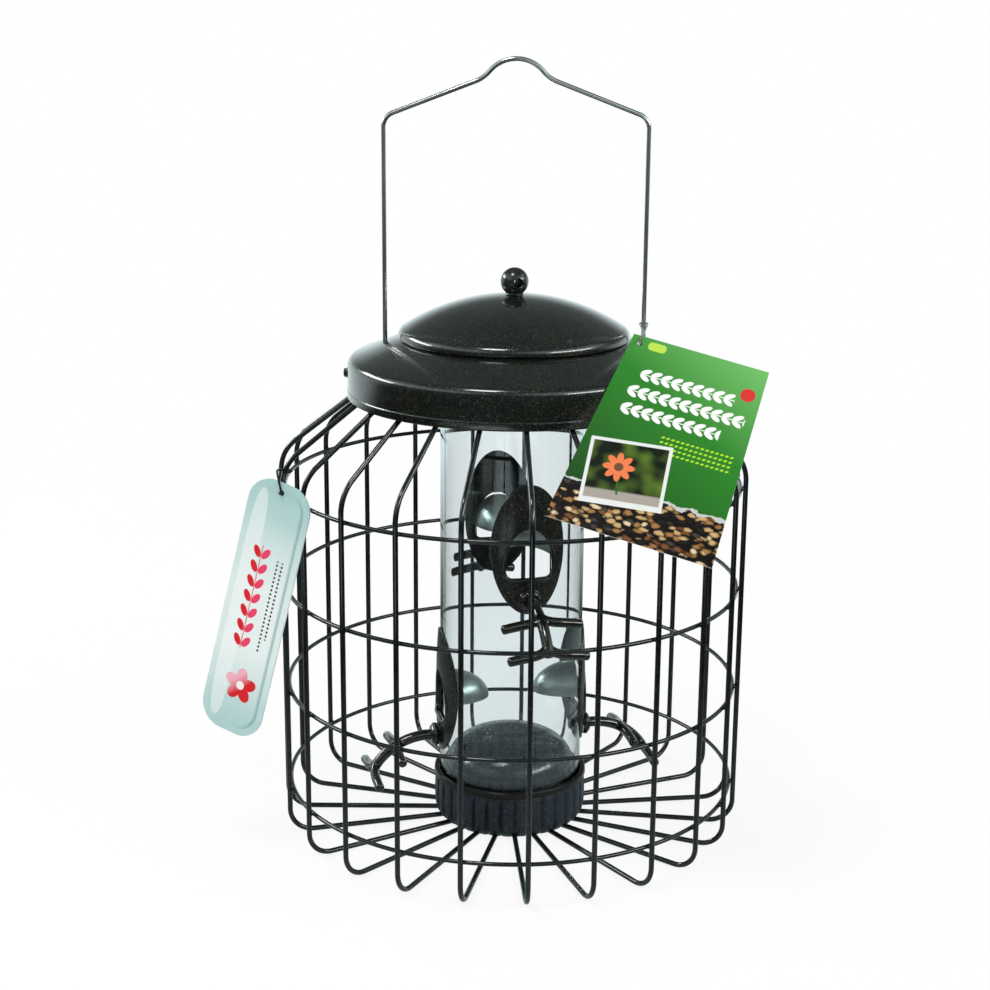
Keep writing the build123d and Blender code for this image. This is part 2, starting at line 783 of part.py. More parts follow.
card = extrude(card_plane * make_face(Polyline(*card_outline, close=True)), card_sheet, dir=card_normal)
card = card - card_plane * hole(card_hole_radius, -overrun, overrun, head_sides)
save(card, "card_tag")

thread_turn = (handle_wire / 2 + thread_size / 2) / cos(pi / wire_sides) + weld_gap
thread_front = card_normal * (card_sheet + thread_knot + weld_gap)
leg = Vector(handle_half_width, 0, card_hole.Z)
half_turn_points = [
    leg + Vector(thread_turn * cos(radians(a)), thread_turn * sin(radians(a)), 0) * (1 / cos(pi / 8))
    for a in (-22.5, 22.5, 67.5, 112.5, 157.5, 202.5)
]
card_edge = card_hole + card_up * (card_hole_margin + thread_edge_gap)
thread_route = [card_hole + thread_front, card_hole - card_normal * thread_knot] + half_turn_points
thread_route += [card_edge + card_normal * (card_sheet + thread_size)]
thread_route += [card_hole + thread_front + card_up * thread_size]
thread = wire(thread_route, thread_size, card_right, 6)
knot_plane = Plane(origin=card_hole + thread_front, x_dir=card_right, z_dir=card_normal)
thread = thread + extrude(knot_plane * RegularPolygon(thread_knot, 6), thread_knot / 2, both=True)
save(thread, "card_thread")

tag_normal, tag_right, tag_up = facing_frame(tag_facing_angle, tag_lean_angle, tag_turn_angle)
top_ring_edge = polar(ring_outer_radius, tag_ring_azimuth, ring_heights[-1] + ring_wire / 2)
tag_wires = [upright_azimuths[0], upright_azimuths[-1]]
tag_back = max(wire_reach(tag_normal, tag_wires), tag_normal.dot(top_ring_edge)) + tag_rest_gap
tag_hole_x = tag_hole_inset - cage_radius
tag_hole_z = ring_heights[-1] + tag_hole_rise
tag_hole_y = (tag_back - tag_normal.X * tag_hole_x - tag_normal.Z * tag_hole_z) / tag_normal.Y
tag_hole = Vector(tag_hole_x, tag_hole_y, tag_hole_z)
tag_plane = Plane(origin=tag_hole, x_dir=tag_right, z_dir=tag_normal)
tag_face = Pos(0, tag_hole_margin - tag_length / 2) * RectangleRounded(tag_width, tag_length, tag_corner)
tag = extrude(tag_plane * tag_face, tag_sheet, dir=tag_normal)
tag = tag - tag_plane * hole(tag_hole_radius, -overrun, overrun, head_sides)
save(tag, "strip_tag")

loop_front = tag_normal * (tag_sheet + loop_knot / 2 + weld_gap)
loop_wire_azimuth = upright_azimuths[-1]
loop_height = ring_heights[-1] + loop_rise
loop_turn = (upright_wire / 2 + loop_size / 2) / cos(pi / wire_sides) + loop_gap
loop_wire_low, loop_wire_high = min(
    zip(upright_route[2:], upright_route[3:]), key=lambda pair: abs(pair[0].Z + pair[1].Z - 2 * loop_height)
)
loop_share = (loop_height - loop_wire_low.Z) / (loop_wire_high.Z - loop_wire_low.Z)
loop_radius = loop_wire_low.X + (loop_wire_high.X - loop_wire_low.X) * loop_share
post = polar(loop_radius, loop_wire_azimuth, loop_height)
outward = polar(1, loop_wire_azimuth, 0)
across = polar(1, loop_wire_azimuth + 90, 0)
loop_back = [
    post + (across * cos(radians(a)) + outward * sin(radians(a))) * (loop_turn / cos(pi / 8))
    for a in (22.5, -22.5, -67.5, -112.5, -157.5, -202.5)
]
over = tag_hole + tag_up * (tag_hole_margin + loop_edge_gap) + tag_normal * (tag_sheet + loop_size)
bulge = (over + loop_back[-1]) / 2 - tag_right * loop_bulge
loop_route = [tag_hole + loop_front, tag_hole - tag_normal * loop_knot] + loop_back
loop_route += [bulge, over - tag_right * loop_bulge, tag_hole + loop_front + tag_up * loop_size]
loop = wire(loop_route, loop_size, tag_right)
loop_knot_plane = Plane(origin=tag_hole + loop_front, x_dir=tag_right, z_dir=tag_normal)
loop = loop + extrude(loop_knot_plane * RegularPolygon(loop_knot, 6), loop_knot / 2, both=True)
save(loop, "strip_loop")
print("card hole", card_hole, "normal", card_normal)
print("tag hole", tag_hole, "normal", tag_normal)
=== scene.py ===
import bpy
import bmesh
from math import asin, cos, exp, pi, radians, sin, sqrt, tan
from mathutils import Matrix, Vector


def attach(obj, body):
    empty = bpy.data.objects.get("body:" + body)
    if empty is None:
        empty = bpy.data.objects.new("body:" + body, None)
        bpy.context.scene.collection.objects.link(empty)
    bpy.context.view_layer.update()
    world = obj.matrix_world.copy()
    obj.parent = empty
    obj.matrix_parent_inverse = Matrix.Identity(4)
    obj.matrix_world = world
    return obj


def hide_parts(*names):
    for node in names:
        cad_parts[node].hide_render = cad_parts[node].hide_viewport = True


# Squirrel proof bird feeder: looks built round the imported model.
# Sizes are in millimetres and angles in degrees, unless a line says otherwise.

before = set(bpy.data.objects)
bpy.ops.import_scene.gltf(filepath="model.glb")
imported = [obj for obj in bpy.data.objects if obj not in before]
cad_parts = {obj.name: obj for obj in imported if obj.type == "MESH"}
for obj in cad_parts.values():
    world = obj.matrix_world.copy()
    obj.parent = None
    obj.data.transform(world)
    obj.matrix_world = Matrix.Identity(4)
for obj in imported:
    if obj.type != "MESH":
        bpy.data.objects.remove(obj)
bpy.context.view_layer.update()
mm = 0.001
print("frame loaded")


# Small helpers for meshes

def polar(radius, azimuth, height):
    turn = radians(azimuth)
    return Vector((radius * cos(turn), radius * sin(turn), height))


def spread(start, end, steps):
    return [start + (end - start) * i / steps for i in range(steps + 1)]


def shift(x, y, z):
    return Matrix.Translation((x, y, z))


def spin(axis, angle):
    return Matrix.Rotation(radians(angle), 4, axis)


def numbered(stem, count, digits=1):
    return [f"{stem}_{i + 1:0{digits}d}" for i in range(count)]


def addObject(name, data):
    piece = bpy.data.objects.new(name, data)
    bpy.context.scene.collection.objects.link(piece)
    return piece


def meshPiece(bm, name):
    bmesh.ops.scale(bm, vec=(mm, mm, mm), verts=bm.verts)
    mesh = bpy.data.meshes.new(name)
    bm.to_mesh(mesh)
    bm.free()
    return addObject(name, mesh)


def smoothMesh(mesh, sharp):
    mesh.polygons.foreach_set("use_smooth", [True] * len(mesh.polygons))
    mesh.set_sharp_from_angle(angle=radians(sharp))


def finishMesh(bm, name, finish=None, sharp=35, recalc=True):
    bmesh.ops.remove_doubles(bm, verts=bm.verts, dist=0.0005)
    if recalc:
        bmesh.ops.recalc_face_normals(bm, faces=bm.faces)
    piece = meshPiece(bm, name)
    if finish:
        piece.data.materials.append(finish)
    smoothMesh(piece.data, sharp)
    return piece


def roundCorners(points, steps=5, closed=True):
    # each point is (x, y, bend radius); the bend becomes an arc
    made = []
    count = len(points)
    for i, (x, y, bend) in enumerate(points):
        corner = Vector((x, y))
        if not bend or (not closed and i in (0, count - 1)):
            made.append((x, y))
            continue
        back = (Vector(points[i - 1][:2]) - corner).normalized()
        ahead = (Vector(points[(i + 1) % count][:2]) - corner).normalized()
        half = back.angle(ahead) / 2
        middle = corner + (back + ahead).normalized() * (bend / sin(half))
        first = corner + back * (bend / tan(half)) - middle
        last = corner + ahead * (bend / tan(half)) - middle
        whole = first.angle(last)
        for share in spread(0, 1, steps):
            spot = middle + (first * sin((1 - share) * whole) + last * sin(share * whole)) / sin(whole)
            made.append((spot.x, spot.y))
    return made


def joinLoops(bm, loops, closed=True):
    # loops hold one point or the same number each; closed also joins the last to the first
    made = [[bm.verts.new(point) for point in loop] for loop in loops]
    for low, high in zip(made, made[1:] + made[:closed]):
        count = max(len(low), len(high))
        for i in range(count):
            j = (i + 1) % count
            corners = [low[i % len(low)], low[j % len(low)], high[j % len(high)], high[i % len(high)]]
            corners = list(dict.fromkeys(corners))
            if len(corners) > 2:
                bm.faces.new(corners)
    return made


def lathe(bm, outline, segments, closed=True):
    joinLoops(bm, [[polar(r, 360 * i / segments, z) for i in range(segments if r > 0.001 else 1)]
                   for r, z in outline], closed)


def turnedPiece(name, outline, segments, finish=None, closed=True, sharp=35, place=None):
    bm = bmesh.new()
    lathe(bm, outline, segments, closed)
    if place:
        bm.transform(place)
    return finishMesh(bm, name, finish, sharp)


def ringRound(spot, across, up, radius, sides):
    return [spot + (across * cos(2 * pi * k / sides) + up * sin(2 * pi * k / sides)) * radius for k in range(sides)]


def sweep(bm, spots, radii, sides=14):
    # a tube along the spots, with its own radius at each and flat ends
    loops = []
    up = None
    for i, spot in enumerate(spots):
        ahead = (spots[min(i + 1, len(spots) - 1)] - spots[max(i - 1, 0)]).normalized()
        up = ahead.orthogonal() if up is None else up
        up = (up - ahead * up.dot(ahead)).normalized()
        loops.append(ringRound(spot, ahead.cross(up), up, radii[i], sides))
    made = joinLoops(bm, loops, closed=False)
    bm.faces.new(made[0])
    bm.faces.new(made[-1])


def takeMesh(piece, name, sharp=35):
    # the piece as its modifiers leave it, as a plain mesh of its own
    bpy.context.view_layer.update()
    graph = bpy.context.evaluated_depsgraph_get()
    mesh = bpy.data.meshes.new_from_object(piece.evaluated_get(graph))
    bpy.data.objects.remove(piece)
    mesh.name = name
    smoothMesh(mesh, sharp)
    return addObject(name, mesh)


def cutAway(piece, cutter):
    cut = piece.modifiers.new("Cut", "BOOLEAN")
    cut.operation = "DIFFERENCE"
    cut.solver = "EXACT"
    cut.object = cutter
    made = takeMesh(piece, piece.name)
    bpy.data.objects.remove(cutter)
    return made


# Small helpers for node trees; the tree is found from the sockets

def addNode(tree, kind, inputs=None, **settings):
    node = tree.nodes.new(kind)
    for key, value in settings.items():
        setattr(node, key, value)
    for key, value in (inputs or {}).items():
        if isinstance(value, bpy.types.NodeSocket):
            tree.links.new(value, node.inputs[key])
        else:
            node.inputs[key].default_value = value
    return node


def owner(*values):
    return next(value.id_data for value in values if isinstance(value, bpy.types.NodeSocket))


def calc(operation, *values):
    return addNode(owner(*values), "ShaderNodeMath", dict(enumerate(values)), operation=operation).outputs[0]


def times(a, b, plus=0.0):
    return calc("MULTIPLY_ADD", a, b, plus)


def minus(a, b):
    return calc("SUBTRACT", a, b)


def most(made, *others):
    for other in others:
        made = calc("MAXIMUM", made, other)
    return made


def remap(value, low, high, toLow=0.0, toHigh=1.0):
    return addNode(owner(value), "ShaderNodeMapRange", {
        "Value": value, "From Min": low, "From Max": high, "To Min": toLow, "To Max": toHigh}).outputs[0]


# Geometry Nodes: one tree bends wires, one sets copies round the tube

def newTree(name, inputs):
    tree = bpy.data.node_groups.new(name, "GeometryNodeTree")
    tree.interface.new_socket("Geometry", in_out="INPUT", socket_type="NodeSocketGeometry")
    tree.interface.new_socket("Geometry", in_out="OUTPUT", socket_type="NodeSocketGeometry")
    for label, kind in inputs.items():
        tree.interface.new_socket(label, in_out="INPUT", socket_type="NodeSocket" + kind)
    return tree, tree.nodes.new("NodeGroupInput").outputs


def endTree(tree, geometry, finish):
    real = addNode(tree, "GeometryNodeRealizeInstances", {0: geometry})
    painted = addNode(tree, "GeometryNodeSetMaterial", {"Geometry": real.outputs[0], "Material": finish})
    addNode(tree, "NodeGroupOutput", {0: painted.outputs[0]})
    return tree


def makeWireTree():
    tree, given = newTree("bentWire", {
        "Wire Radius": "Float", "Wire Sides": "Int", "Bend Steps": "Int", "Finish": "Material"})
    curve = addNode(tree, "GeometryNodeMeshToCurve", {"Mesh": given["Geometry"]})
    bend = addNode(tree, "GeometryNodeInputNamedAttribute", {"Name": "bend"}, data_type="FLOAT")
    bent = addNode(tree, "GeometryNodeFilletCurve", {
        "Curve": curve.outputs[0], "Count": given["Bend Steps"], "Radius": bend.outputs[0]}, mode="POLY")
    ring = addNode(tree, "GeometryNodeCurvePrimitiveCircle", {
        "Resolution": given["Wire Sides"], "Radius": given["Wire Radius"]})
    wire = addNode(tree, "GeometryNodeCurveToMesh", {
        "Curve": bent.outputs[0], "Profile Curve": ring.outputs[0], "Fill Caps": True})
    return endTree(tree, wire.outputs[0], given["Finish"])


def makeCopyTree():
    tree, given = newTree("copiesRound", {
        "Copies": "Int", "First Turn": "Float", "Turn Step": "Float", "Even Height": "Float",
        "Odd Height": "Float", "Height Step": "Float", "Finish": "Material"})
    points = addNode(tree, "GeometryNodePoints", {"Count": given["Copies"]})
    index = addNode(tree, "GeometryNodeInputIndex").outputs[0]
    turn = times(index, given["Turn Step"], given["First Turn"])
    change = minus(given["Odd Height"], given["Even Height"])
    rise = times(calc("MODULO", index, 2.0), change, given["Even Height"])
    rise = times(index, given["Height Step"], rise)
    place, angle = (addNode(tree, "ShaderNodeCombineXYZ", {"Z": value}).outputs[0] for value in (rise, turn))
    moved = addNode(tree, "GeometryNodeSetPosition", {0: points.outputs[0], "Position": place})
    copies = addNode(tree, "GeometryNodeInstanceOnPoints", {
        "Points": moved.outputs[0], "Instance": given["Geometry"], "Rotation": angle})
    return endTree(tree, copies.outputs[0], given["Finish"])


wireTree = makeWireTree()
copyTree = makeCopyTree()


def addTree(piece, tree, values):
    made = piece.modifiers.new(tree.name, "NODES")
    made.node_group = tree
    for item in tree.interface.items_tree:
        if item.in_out == "INPUT" and item.name in values:
            made[item.identifier] = values[item.name]


def wirePiece(routes, size, finish, sides=16, bendSteps=10, closed=False):
    # routes hold (x, y, z, bend radius); takeMesh comes after it
    bm = bmesh.new()
    bends = bm.verts.layers.float.new("bend")
    for route in routes:
        corners = [bm.verts.new(point[:3]) for point in route]
        for corner, point in zip(corners, route):
            corner[bends] = point[3] * mm
        for pair in zip(corners, corners[1:] + corners[:closed]):
            bm.edges.new(pair)
    piece = meshPiece(bm, "route")
    addTree(piece, wireTree, {
        "Wire Radius": size / 2 * mm, "Wire Sides": sides, "Bend Steps": bendSteps, "Finish": finish})
    return piece


def copyRound(piece, finish, copies, first, step, even=0.0, odd=0.0, rise=0.0):
    addTree(piece, copyTree, {
        "Copies": copies, "First Turn": radians(first), "Turn Step": radians(step), "Finish": finish,
        "Even Height": even * mm, "Odd Height": odd * mm, "Height Step": rise * mm})


def dress(piece, nodes, body="feeder"):
    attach(piece, body)
    if nodes:
        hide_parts(*nodes)


# Materials, all from Object coordinates

def newFinish(name, **values):
    finish = bpy.data.materials.new(name)
    finish.use_nodes = True
    shader = finish.node_tree.nodes["Principled BSDF"]
    for label, value in values.items():
        shader.inputs[label.replace("_", " ")].default_value = value
    return finish, shader, addNode(finish.node_tree, "ShaderNodeTexCoord").outputs["Object"]


def opaque(colour):
    return (*colour, 1) if isinstance(colour, tuple) else colour


def layer(below, above, mask):
    return addNode(owner(below, above, mask), "ShaderNodeMix", {0: mask, 6: opaque(below), 7: opaque(above)},
                   data_type="RGBA", blend_type="MIX").outputs[2]


def noise(place, scale, detail=2.0):
    return addNode(owner(place), "ShaderNodeTexNoise", {
        "Vector": place, "Scale": scale, "Detail": detail, "Roughness": 0.5}).outputs["Fac"]


def surface(shader, tone, rough, height, strength, distance):
    # joins a colour, a roughness and a relief to the shader; a None is left out
    tree = shader.id_data
    made = addNode(tree, "ShaderNodeBump", {"Height": height, "Strength": strength, "Distance": distance * mm})
    for socket, label in ((tone, "Base Color"), (rough, "Roughness"), (made.outputs[0], "Normal")):
        if socket:
            tree.links.new(socket, shader.inputs[label])


def paint(name, colour, second, fleckColour, fleckSize, fleckShare, rough, grain, depth, **values):
    # two near tones, with small bright flakes, one to a cell, and a fine grain
    finish, shader, place = newFinish(name, **values)
    broad = noise(place, 38.0, 3.0)
    tone = layer(colour, second, remap(broad, 0.35, 0.65))
    cells = addNode(owner(place), "ShaderNodeTexVoronoi", {"Vector": place, "Scale": 1000 / fleckSize})
    parts = addNode(owner(place), "ShaderNodeSeparateColor", {0: cells.outputs["Color"]}).outputs
    chosen = remap(parts[0], 1 - fleckShare, 1 - fleckShare + 0.02)
    bright = times(chosen, remap(cells.outputs["Distance"], 0.55, 0.25))
    shade = calc("POWER", parts[1], 2.0)
    tone = layer(tone, fleckColour, times(bright, remap(shade, 0, 1, 0.15, 1)))
    fine = noise(place, 1000 / grain)
    uneven = times(fine, 0.7, times(broad, 0.3))
    surface(shader, tone, remap(uneven, 0.3, 0.7, rough * 0.8, rough * 1.25), fine, 1.0, depth)
    return finish


# In order: two near tones, the flakes' colour, size and share, roughness, grain, depth of the relief
wirePaint = paint("wirePaint", (0.0025, 0.0042, 0.0048), (0.0055, 0.0080, 0.0088), (0.13, 0.16, 0.16), 0.36, 0.14,
                  0.19, 0.5, 0.012, Metallic=0.2, Specular_IOR_Level=0.3, Coat_Weight=0.8, Coat_Roughness=0.07)
roofPaint = paint("roofPaint", (0.0055, 0.0078, 0.0050), (0.0105, 0.0130, 0.0085), (0.26, 0.29, 0.21), 0.42, 0.24,
                  0.26, 0.40, 0.012, Metallic=0.55, Coat_Weight=1.0, Coat_Roughness=0.10)
knobPaint = paint("knobPaint", (0.022, 0.026, 0.021), (0.034, 0.038, 0.031), (0.26, 0.28, 0.22), 0.34, 0.12,
                  0.27, 0.4, 0.006, Metallic=0.6, Coat_Weight=0.6, Coat_Roughness=0.09)
handlePaint = paint("handlePaint", (0.50, 0.52, 0.465), (0.60, 0.615, 0.555), (0.74, 0.74, 0.66), 0.3, 0.10,
                    0.20, 0.35, 0.006, Metallic=1.0, Coat_Weight=0.3, Coat_Roughness=0.10)
castPaint = paint("castPaint", (0.006, 0.008, 0.006), (0.013, 0.015, 0.012), (0.20, 0.22, 0.17), 0.55, 0.36,
                  0.36, 0.55, 0.045, Metallic=0.35, Specular_IOR_Level=0.35, Coat_Weight=0.5, Coat_Roughness=0.13)
perchPaint = paint("perchPaint", (0.010, 0.011, 0.008), (0.018, 0.019, 0.013), (0.22, 0.22, 0.15), 0.42, 0.14,
                   0.20, 0.5, 0.012, Metallic=0.5, Specular_IOR_Level=0.4, Coat_Weight=1.0, Coat_Roughness=0.07)
pewterPaint = paint("pewterPaint", (0.30, 0.365, 0.345), (0.39, 0.465, 0.44), (0.62, 0.70, 0.65), 0.5, 0.26,
                    0.34, 0.42, 0.014, Metallic=0.75, Coat_Weight=0.25, Coat_Roughness=0.16)
capPaint = paint("capPaint", (0.011, 0.017, 0.024), (0.020, 0.028, 0.037), (0.15, 0.19, 0.22), 0.5, 0.26,
                 0.42, 0.5, 0.030, Metallic=0.3, Specular_IOR_Level=0.3, Coat_Weight=0.1, Coat_Roughness=0.3)
hatPlastic = paint("hatPlastic", (0.020, 0.030, 0.036), (0.030, 0.042, 0.048), (0.05, 0.06, 0.065), 0.5, 0.03,
                   0.26, 1.6, 0.008, Metallic=0.0, Coat_Weight=0.3, Coat_Roughness=0.12)
lipGloss = paint("lipGloss", (0.006, 0.006, 0.005), (0.010, 0.010, 0.009), (0.05, 0.05, 0.04), 0.3, 0.10,
                 0.16, 0.5, 0.006, Metallic=0.0, Specular_IOR_Level=0.2, Coat_Weight=0.1, Coat_Roughness=0.05)
steel = paint("steel", (0.30, 0.30, 0.29), (0.40, 0.40, 0.38), (0.6, 0.6, 0.58), 0.3, 0.05,
              0.30, 0.25, 0.006, Metallic=1.0)
# near black: painted shade for the inside of the knob's bore
borePaintedShade = paint("borePaintedShade", (0.004, 0.004, 0.004), (0.008, 0.008, 0.007), (0.02, 0.02, 0.02), 0.3, 0.1,
                 0.70, 0.3, 0.010, Metallic=0.0, Specular_IOR_Level=0.1)


def makeTubeFinish():
    finish, shader, place = newFinish(
        "clearTube", Transmission_Weight=1.0, IOR=1.43, Base_Color=(0.885, 0.932, 0.938, 1))
    # faint draw lines along the tube, and a little haze
    along = addNode(owner(place), "ShaderNodeMapping", {"Vector": place, "Scale": (1.0, 1.0, 0.004)}).outputs[0]
    haze = remap(noise(place, 60.0, 4.0), 0.4, 0.7, 0.012, 0.035)
    surface(shader, None, haze, noise(along, 260.0, 1.0), 0.10, 0.01)
    return finish


clearTube = makeTubeFinish()
print("materials made")


# Wire cage

cage = {
    "uprights": 23, "firstAzimuth": 211.9, "uprightWire": 2.7, "radius": 121.4, "start": 24.05,
    "floorBend": 12.5, "shoulderHeight": 202.0, "shoulderBend": 20.0, "endRadius": 79.58, "endHeight": 234.39,
    "ringWire": 2.2, "ringRadius": 118.9, "rings": 4, "lowestRing": 24.9, "ringPitch": 54.33, "ringSteps": 184,
    "weld": (0.85, 1.5, 1.25),
}


def copyUprights(piece):
    copyRound(piece, wirePaint, cage["uprights"], cage["firstAzimuth"], 360 / cage["uprights"])


def stackRings(piece):
    copyRound(piece, wirePaint, cage["rings"], 0, 0, cage["lowestRing"], cage["lowestRing"], cage["ringPitch"])


def makeUprights():
    low, wall = cage["uprightWire"] / 2, cage["radius"]
    piece = wirePiece([[
        (cage["start"], 0, low, 0), (wall, 0, low, cage["floorBend"]),
        (wall, 0, cage["shoulderHeight"], cage["shoulderBend"]),
        (cage["endRadius"], 0, cage["endHeight"], 0)]], cage["uprightWire"], wirePaint, sides=18, bendSteps=12)
    copyUprights(piece)
    return takeMesh(piece, "cageUprights")


def makeRings():
    steps = cage["ringSteps"]
    circle = [(*polar(cage["ringRadius"], 360 * i / steps, 0), 0) for i in range(steps)]
    piece = wirePiece([circle], cage["ringWire"], wirePaint, sides=14, closed=True)
    stackRings(piece)
    return takeMesh(piece, "cageRings")


def makeWelds():
    # the small fillet of metal where each upright is spot welded to a ring
    bm = bmesh.new()
    bmesh.ops.create_icosphere(bm, subdivisions=2, radius=1)
    bm.transform(shift(cage["ringRadius"] + cage["ringWire"] / 2, 0, 0) @ Matrix.Diagonal((*cage["weld"], 1)))
    piece = finishMesh(bm, "welds")
    copyUprights(piece)
    stackRings(piece)
    return takeMesh(piece, "cageWelds")


dress(makeUprights(), numbered("cage_upright", cage["uprights"], 2))
dress(makeRings(), numbered("cage_ring", cage["rings"]))
dress(makeWelds(), [])
print("cage made")


# Roof, with its hem fold, neck and the holes for the handle's legs, and the cage's band under it

roof = {
    "radius": 86.0, "height": 232.9, "skirtRadius": 85.7, "cornerHeight": 252.4, "shoulder": 4.5, "slope": 21.0,
    "hem": 4.0, "fold": 1.8, "sheet": 0.9, "neckRadius": 38.3, "neckTop": 270.71, "neckBottom": 256.2,
    "segments": 192, "legRadius": 1.5, "legPlace": 66.45,
    "bandRadius": 78.7, "bandSheet": 1.5, "bandBottom": 231.69, "bandTop": 247.66,
}


def makeRoof():
    outer, low, sheet, top = roof["radius"], roof["height"], roof["sheet"], roof["neckTop"]
    skirt, corner, neck, foot = roof["skirtRadius"], roof["cornerHeight"], roof["neckRadius"], roof["neckBottom"]
    hem, fold, hole = low + roof["hem"], outer - roof["fold"], roof["legRadius"]
    skin = sheet / cos(radians(roof["slope"]))
    shell = turnedPiece("roofShell", roundCorners([
        (fold, low, 0.88), (outer, low, 0.88), (outer, hem - 0.1, 0.3), (skirt, hem + 0.35, 0.3),
        (skirt, corner, roof["shoulder"]), (neck, top, 1.4), (neck, foot, 0.3),
        (neck + sheet, foot, 0.3), (neck + sheet, top - 1.3, 0.8),
        (skirt - sheet, corner - skin + 0.3, 3.6), (skirt - sheet, hem + 0.3, 0.2), (fold, hem, 0.3)]),
        roof["segments"], roofPaint)
    cutter = bmesh.new()
    for side in (-1, 1):
        bmesh.ops.create_cone(cutter, cap_ends=True, segments=24, radius1=hole, radius2=hole, depth=30,
                              matrix=shift(side * roof["legPlace"], 0, corner + 7))
    return cutAway(shell, finishMesh(cutter, "legHoles"))


def makeBand():
    outer, low, top = roof["bandRadius"], roof["bandBottom"], roof["bandTop"]
    inner = outer - roof["bandSheet"]
    corners = [(r, z, 0.4) for r, z in ((outer, low), (outer, top), (inner, top), (inner, low))]
    return turnedPiece("topBand", roundCorners(corners, 3), 160, wirePaint)


dress(makeRoof(), ["roof"])
dress(makeBand(), ["cage_top_ring"])


# Lid and knob

lid = {
    "domeRadius": 106.0, "domeBase": 179.23, "radius": 59.6, "beadHeight": 264.39, "edgeHeight": 266.89,
    "bead": 1.2, "corner": 4.6, "sheet": 0.9, "screwHole": 1.6, "creaseRadius": 56.2, "creaseDepth": 0.16,
    "segments": 192,
}
knob = {
    "radius": 7.2, "height": 292.02, "foot": 285.28, "boreRadius": 2.25, "boreFlare": 2.65, "boreAzimuth": 287.0,
    "collar": [(4.3, 0), (4.65, 0.15), (4.7, 0.4), (4.45, 0.8)], "screwRoom": 1.56, "screwTop": 288.57,
}


def domeHeight(radius):
    return lid["domeBase"] + sqrt(lid["domeRadius"] ** 2 - radius ** 2)


def makeLid():
    bead, low, radius = lid["beadHeight"], lid["beadHeight"] - lid["bead"], lid["radius"]
    crease, depth, hole = lid["creaseRadius"], lid["creaseDepth"], lid["screwHole"]
    edge = [(58.55, 266.3, 0.6), (57.3, bead, 0.3), (57.2, low, 1.1), (radius, low, 1.15)]
    outer = [(radius, lid["edgeHeight"], lid["corner"]), (crease + 0.45, domeHeight(crease + 0.45), 0),
             (crease + 0.15, domeHeight(crease) - depth, 0), (crease - 0.35, domeHeight(crease - 0.35) - depth / 3, 0)]
    outer += [(r, domeHeight(r), 0) for r in spread(crease - 1.2, hole, 26)]
    inner = [(r, domeHeight(r) - lid["sheet"], 0) for r in spread(hole, 55.5, 22)]
    return turnedPiece("lidShell", roundCorners(edge + outer + inner, 8), lid["segments"], roofPaint, sharp=50)


def makeKnob():
    middle, radius, foot, bore = knob["height"], knob["radius"], knob["foot"], knob["boreRadius"]
    lowest = -asin((middle - foot - 1.2) / radius)
    ball = [(radius * cos(a), middle + radius * sin(a)) for a in spread(lowest, pi / 2, 36)]
    body = turnedPiece("knobBall", [(0, foot)] + [(r, foot + z) for r, z in knob["collar"]] + ball[:-1]
                       + [(0, middle + radius)], 72, knobPaint, closed=False, sharp=50)
    reach, flare = radius + 2, knob["boreFlare"]
    side = [(bore, 6.2), (flare - 0.25, 6.5), (flare, 6.75), (flare + 0.9, reach), (0, reach)]
    cutter = turnedPiece("knobBore", [(r, -x) for r, x in reversed(side)] + side, 48, closed=False,
                         place=shift(0, 0, middle) @ spin("Z", knob["boreAzimuth"]) @ spin("Y", 90))
    body = cutAway(body, cutter)
    # the faces inside the bore take a near-black finish: painted shade, so that the hole reads dark
    axis = polar(1, knob["boreAzimuth"], 0)
    body.data.materials.append(borePaintedShade)
    for face in body.data.polygons:
        spot = face.center * 1000 - Vector((0, 0, middle))
        if (spot - axis * spot.dot(axis)).length < bore + 0.03:
            face.material_index = 1
    room, top = knob["screwRoom"], knob["screwTop"]
    return cutAway(body, turnedPiece(
        "screwRoom", [(0, foot - 3), (room, foot - 3), (room, top), (0, top)], 24, closed=False))


dress(makeLid(), ["lid"], "lid_group")
dress(makeKnob(), ["knob"], "lid_group")
print("roof and lid made")


# Bail handle

bail = {
    "wire": 2.4, "half": 66.45, "foot": 246.5, "shoulder": 374.2, "shoulderBend": 7.5,
    "hoopHalf": 16.3, "hoopFoot": 393.3, "hoopBend": 17.0, "peak": 412.05, "hoopRadius": 17.7,
    "headRadius": 2.4, "headHeight": 1.2,
}


def makeBail():
    leg = [(bail["half"], 0, bail["foot"], 0), (bail["half"], 0, bail["shoulder"], bail["shoulderBend"]),
           (bail["hoopHalf"], 0, bail["hoopFoot"], bail["hoopBend"])]
    route = leg + [(0, 0, bail["peak"], bail["hoopRadius"])] + [(-x, y, z, b) for x, y, z, b in reversed(leg)]
    return takeMesh(wirePiece([route], bail["wire"], handlePaint, sides=20, bendSteps=24), "bailHandle")


def makeFeet():
    foot, radius, top = bail["foot"], bail["headRadius"], bail["foot"] + bail["headHeight"]
    outline = roundCorners([(0, foot, 0), (radius, foot, 0.3), (radius, top, 0.2), (0, top, 0)], 3, closed=False)
    piece = turnedPiece("feet", outline, 24, closed=False, place=shift(bail["half"], 0, 0))
    copyRound(piece, handlePaint, 2, 0, 180)
    return takeMesh(piece, "bailFeet")


dress(makeBail(), ["handle"])
dress(makeFeet(), [])


# Screws: hexagon heads in the skirt, countersunk ones in the floor plate

screws = {
    "sideHeight": 243.81, "sideFace": 85.78, "headRadius": 2.3, "headTop": 2.2, "washer": 2.9, "washerTop": 0.6,
    "shank": 1.4, "shankLength": 4.5,
    "floorCircle": 14.0, "floorHead": 2.9, "floorShank": 1.5, "floorSink": 1.5, "floorTop": 5.15,
    "slot": (3.4, 0.9, 1.4),
}


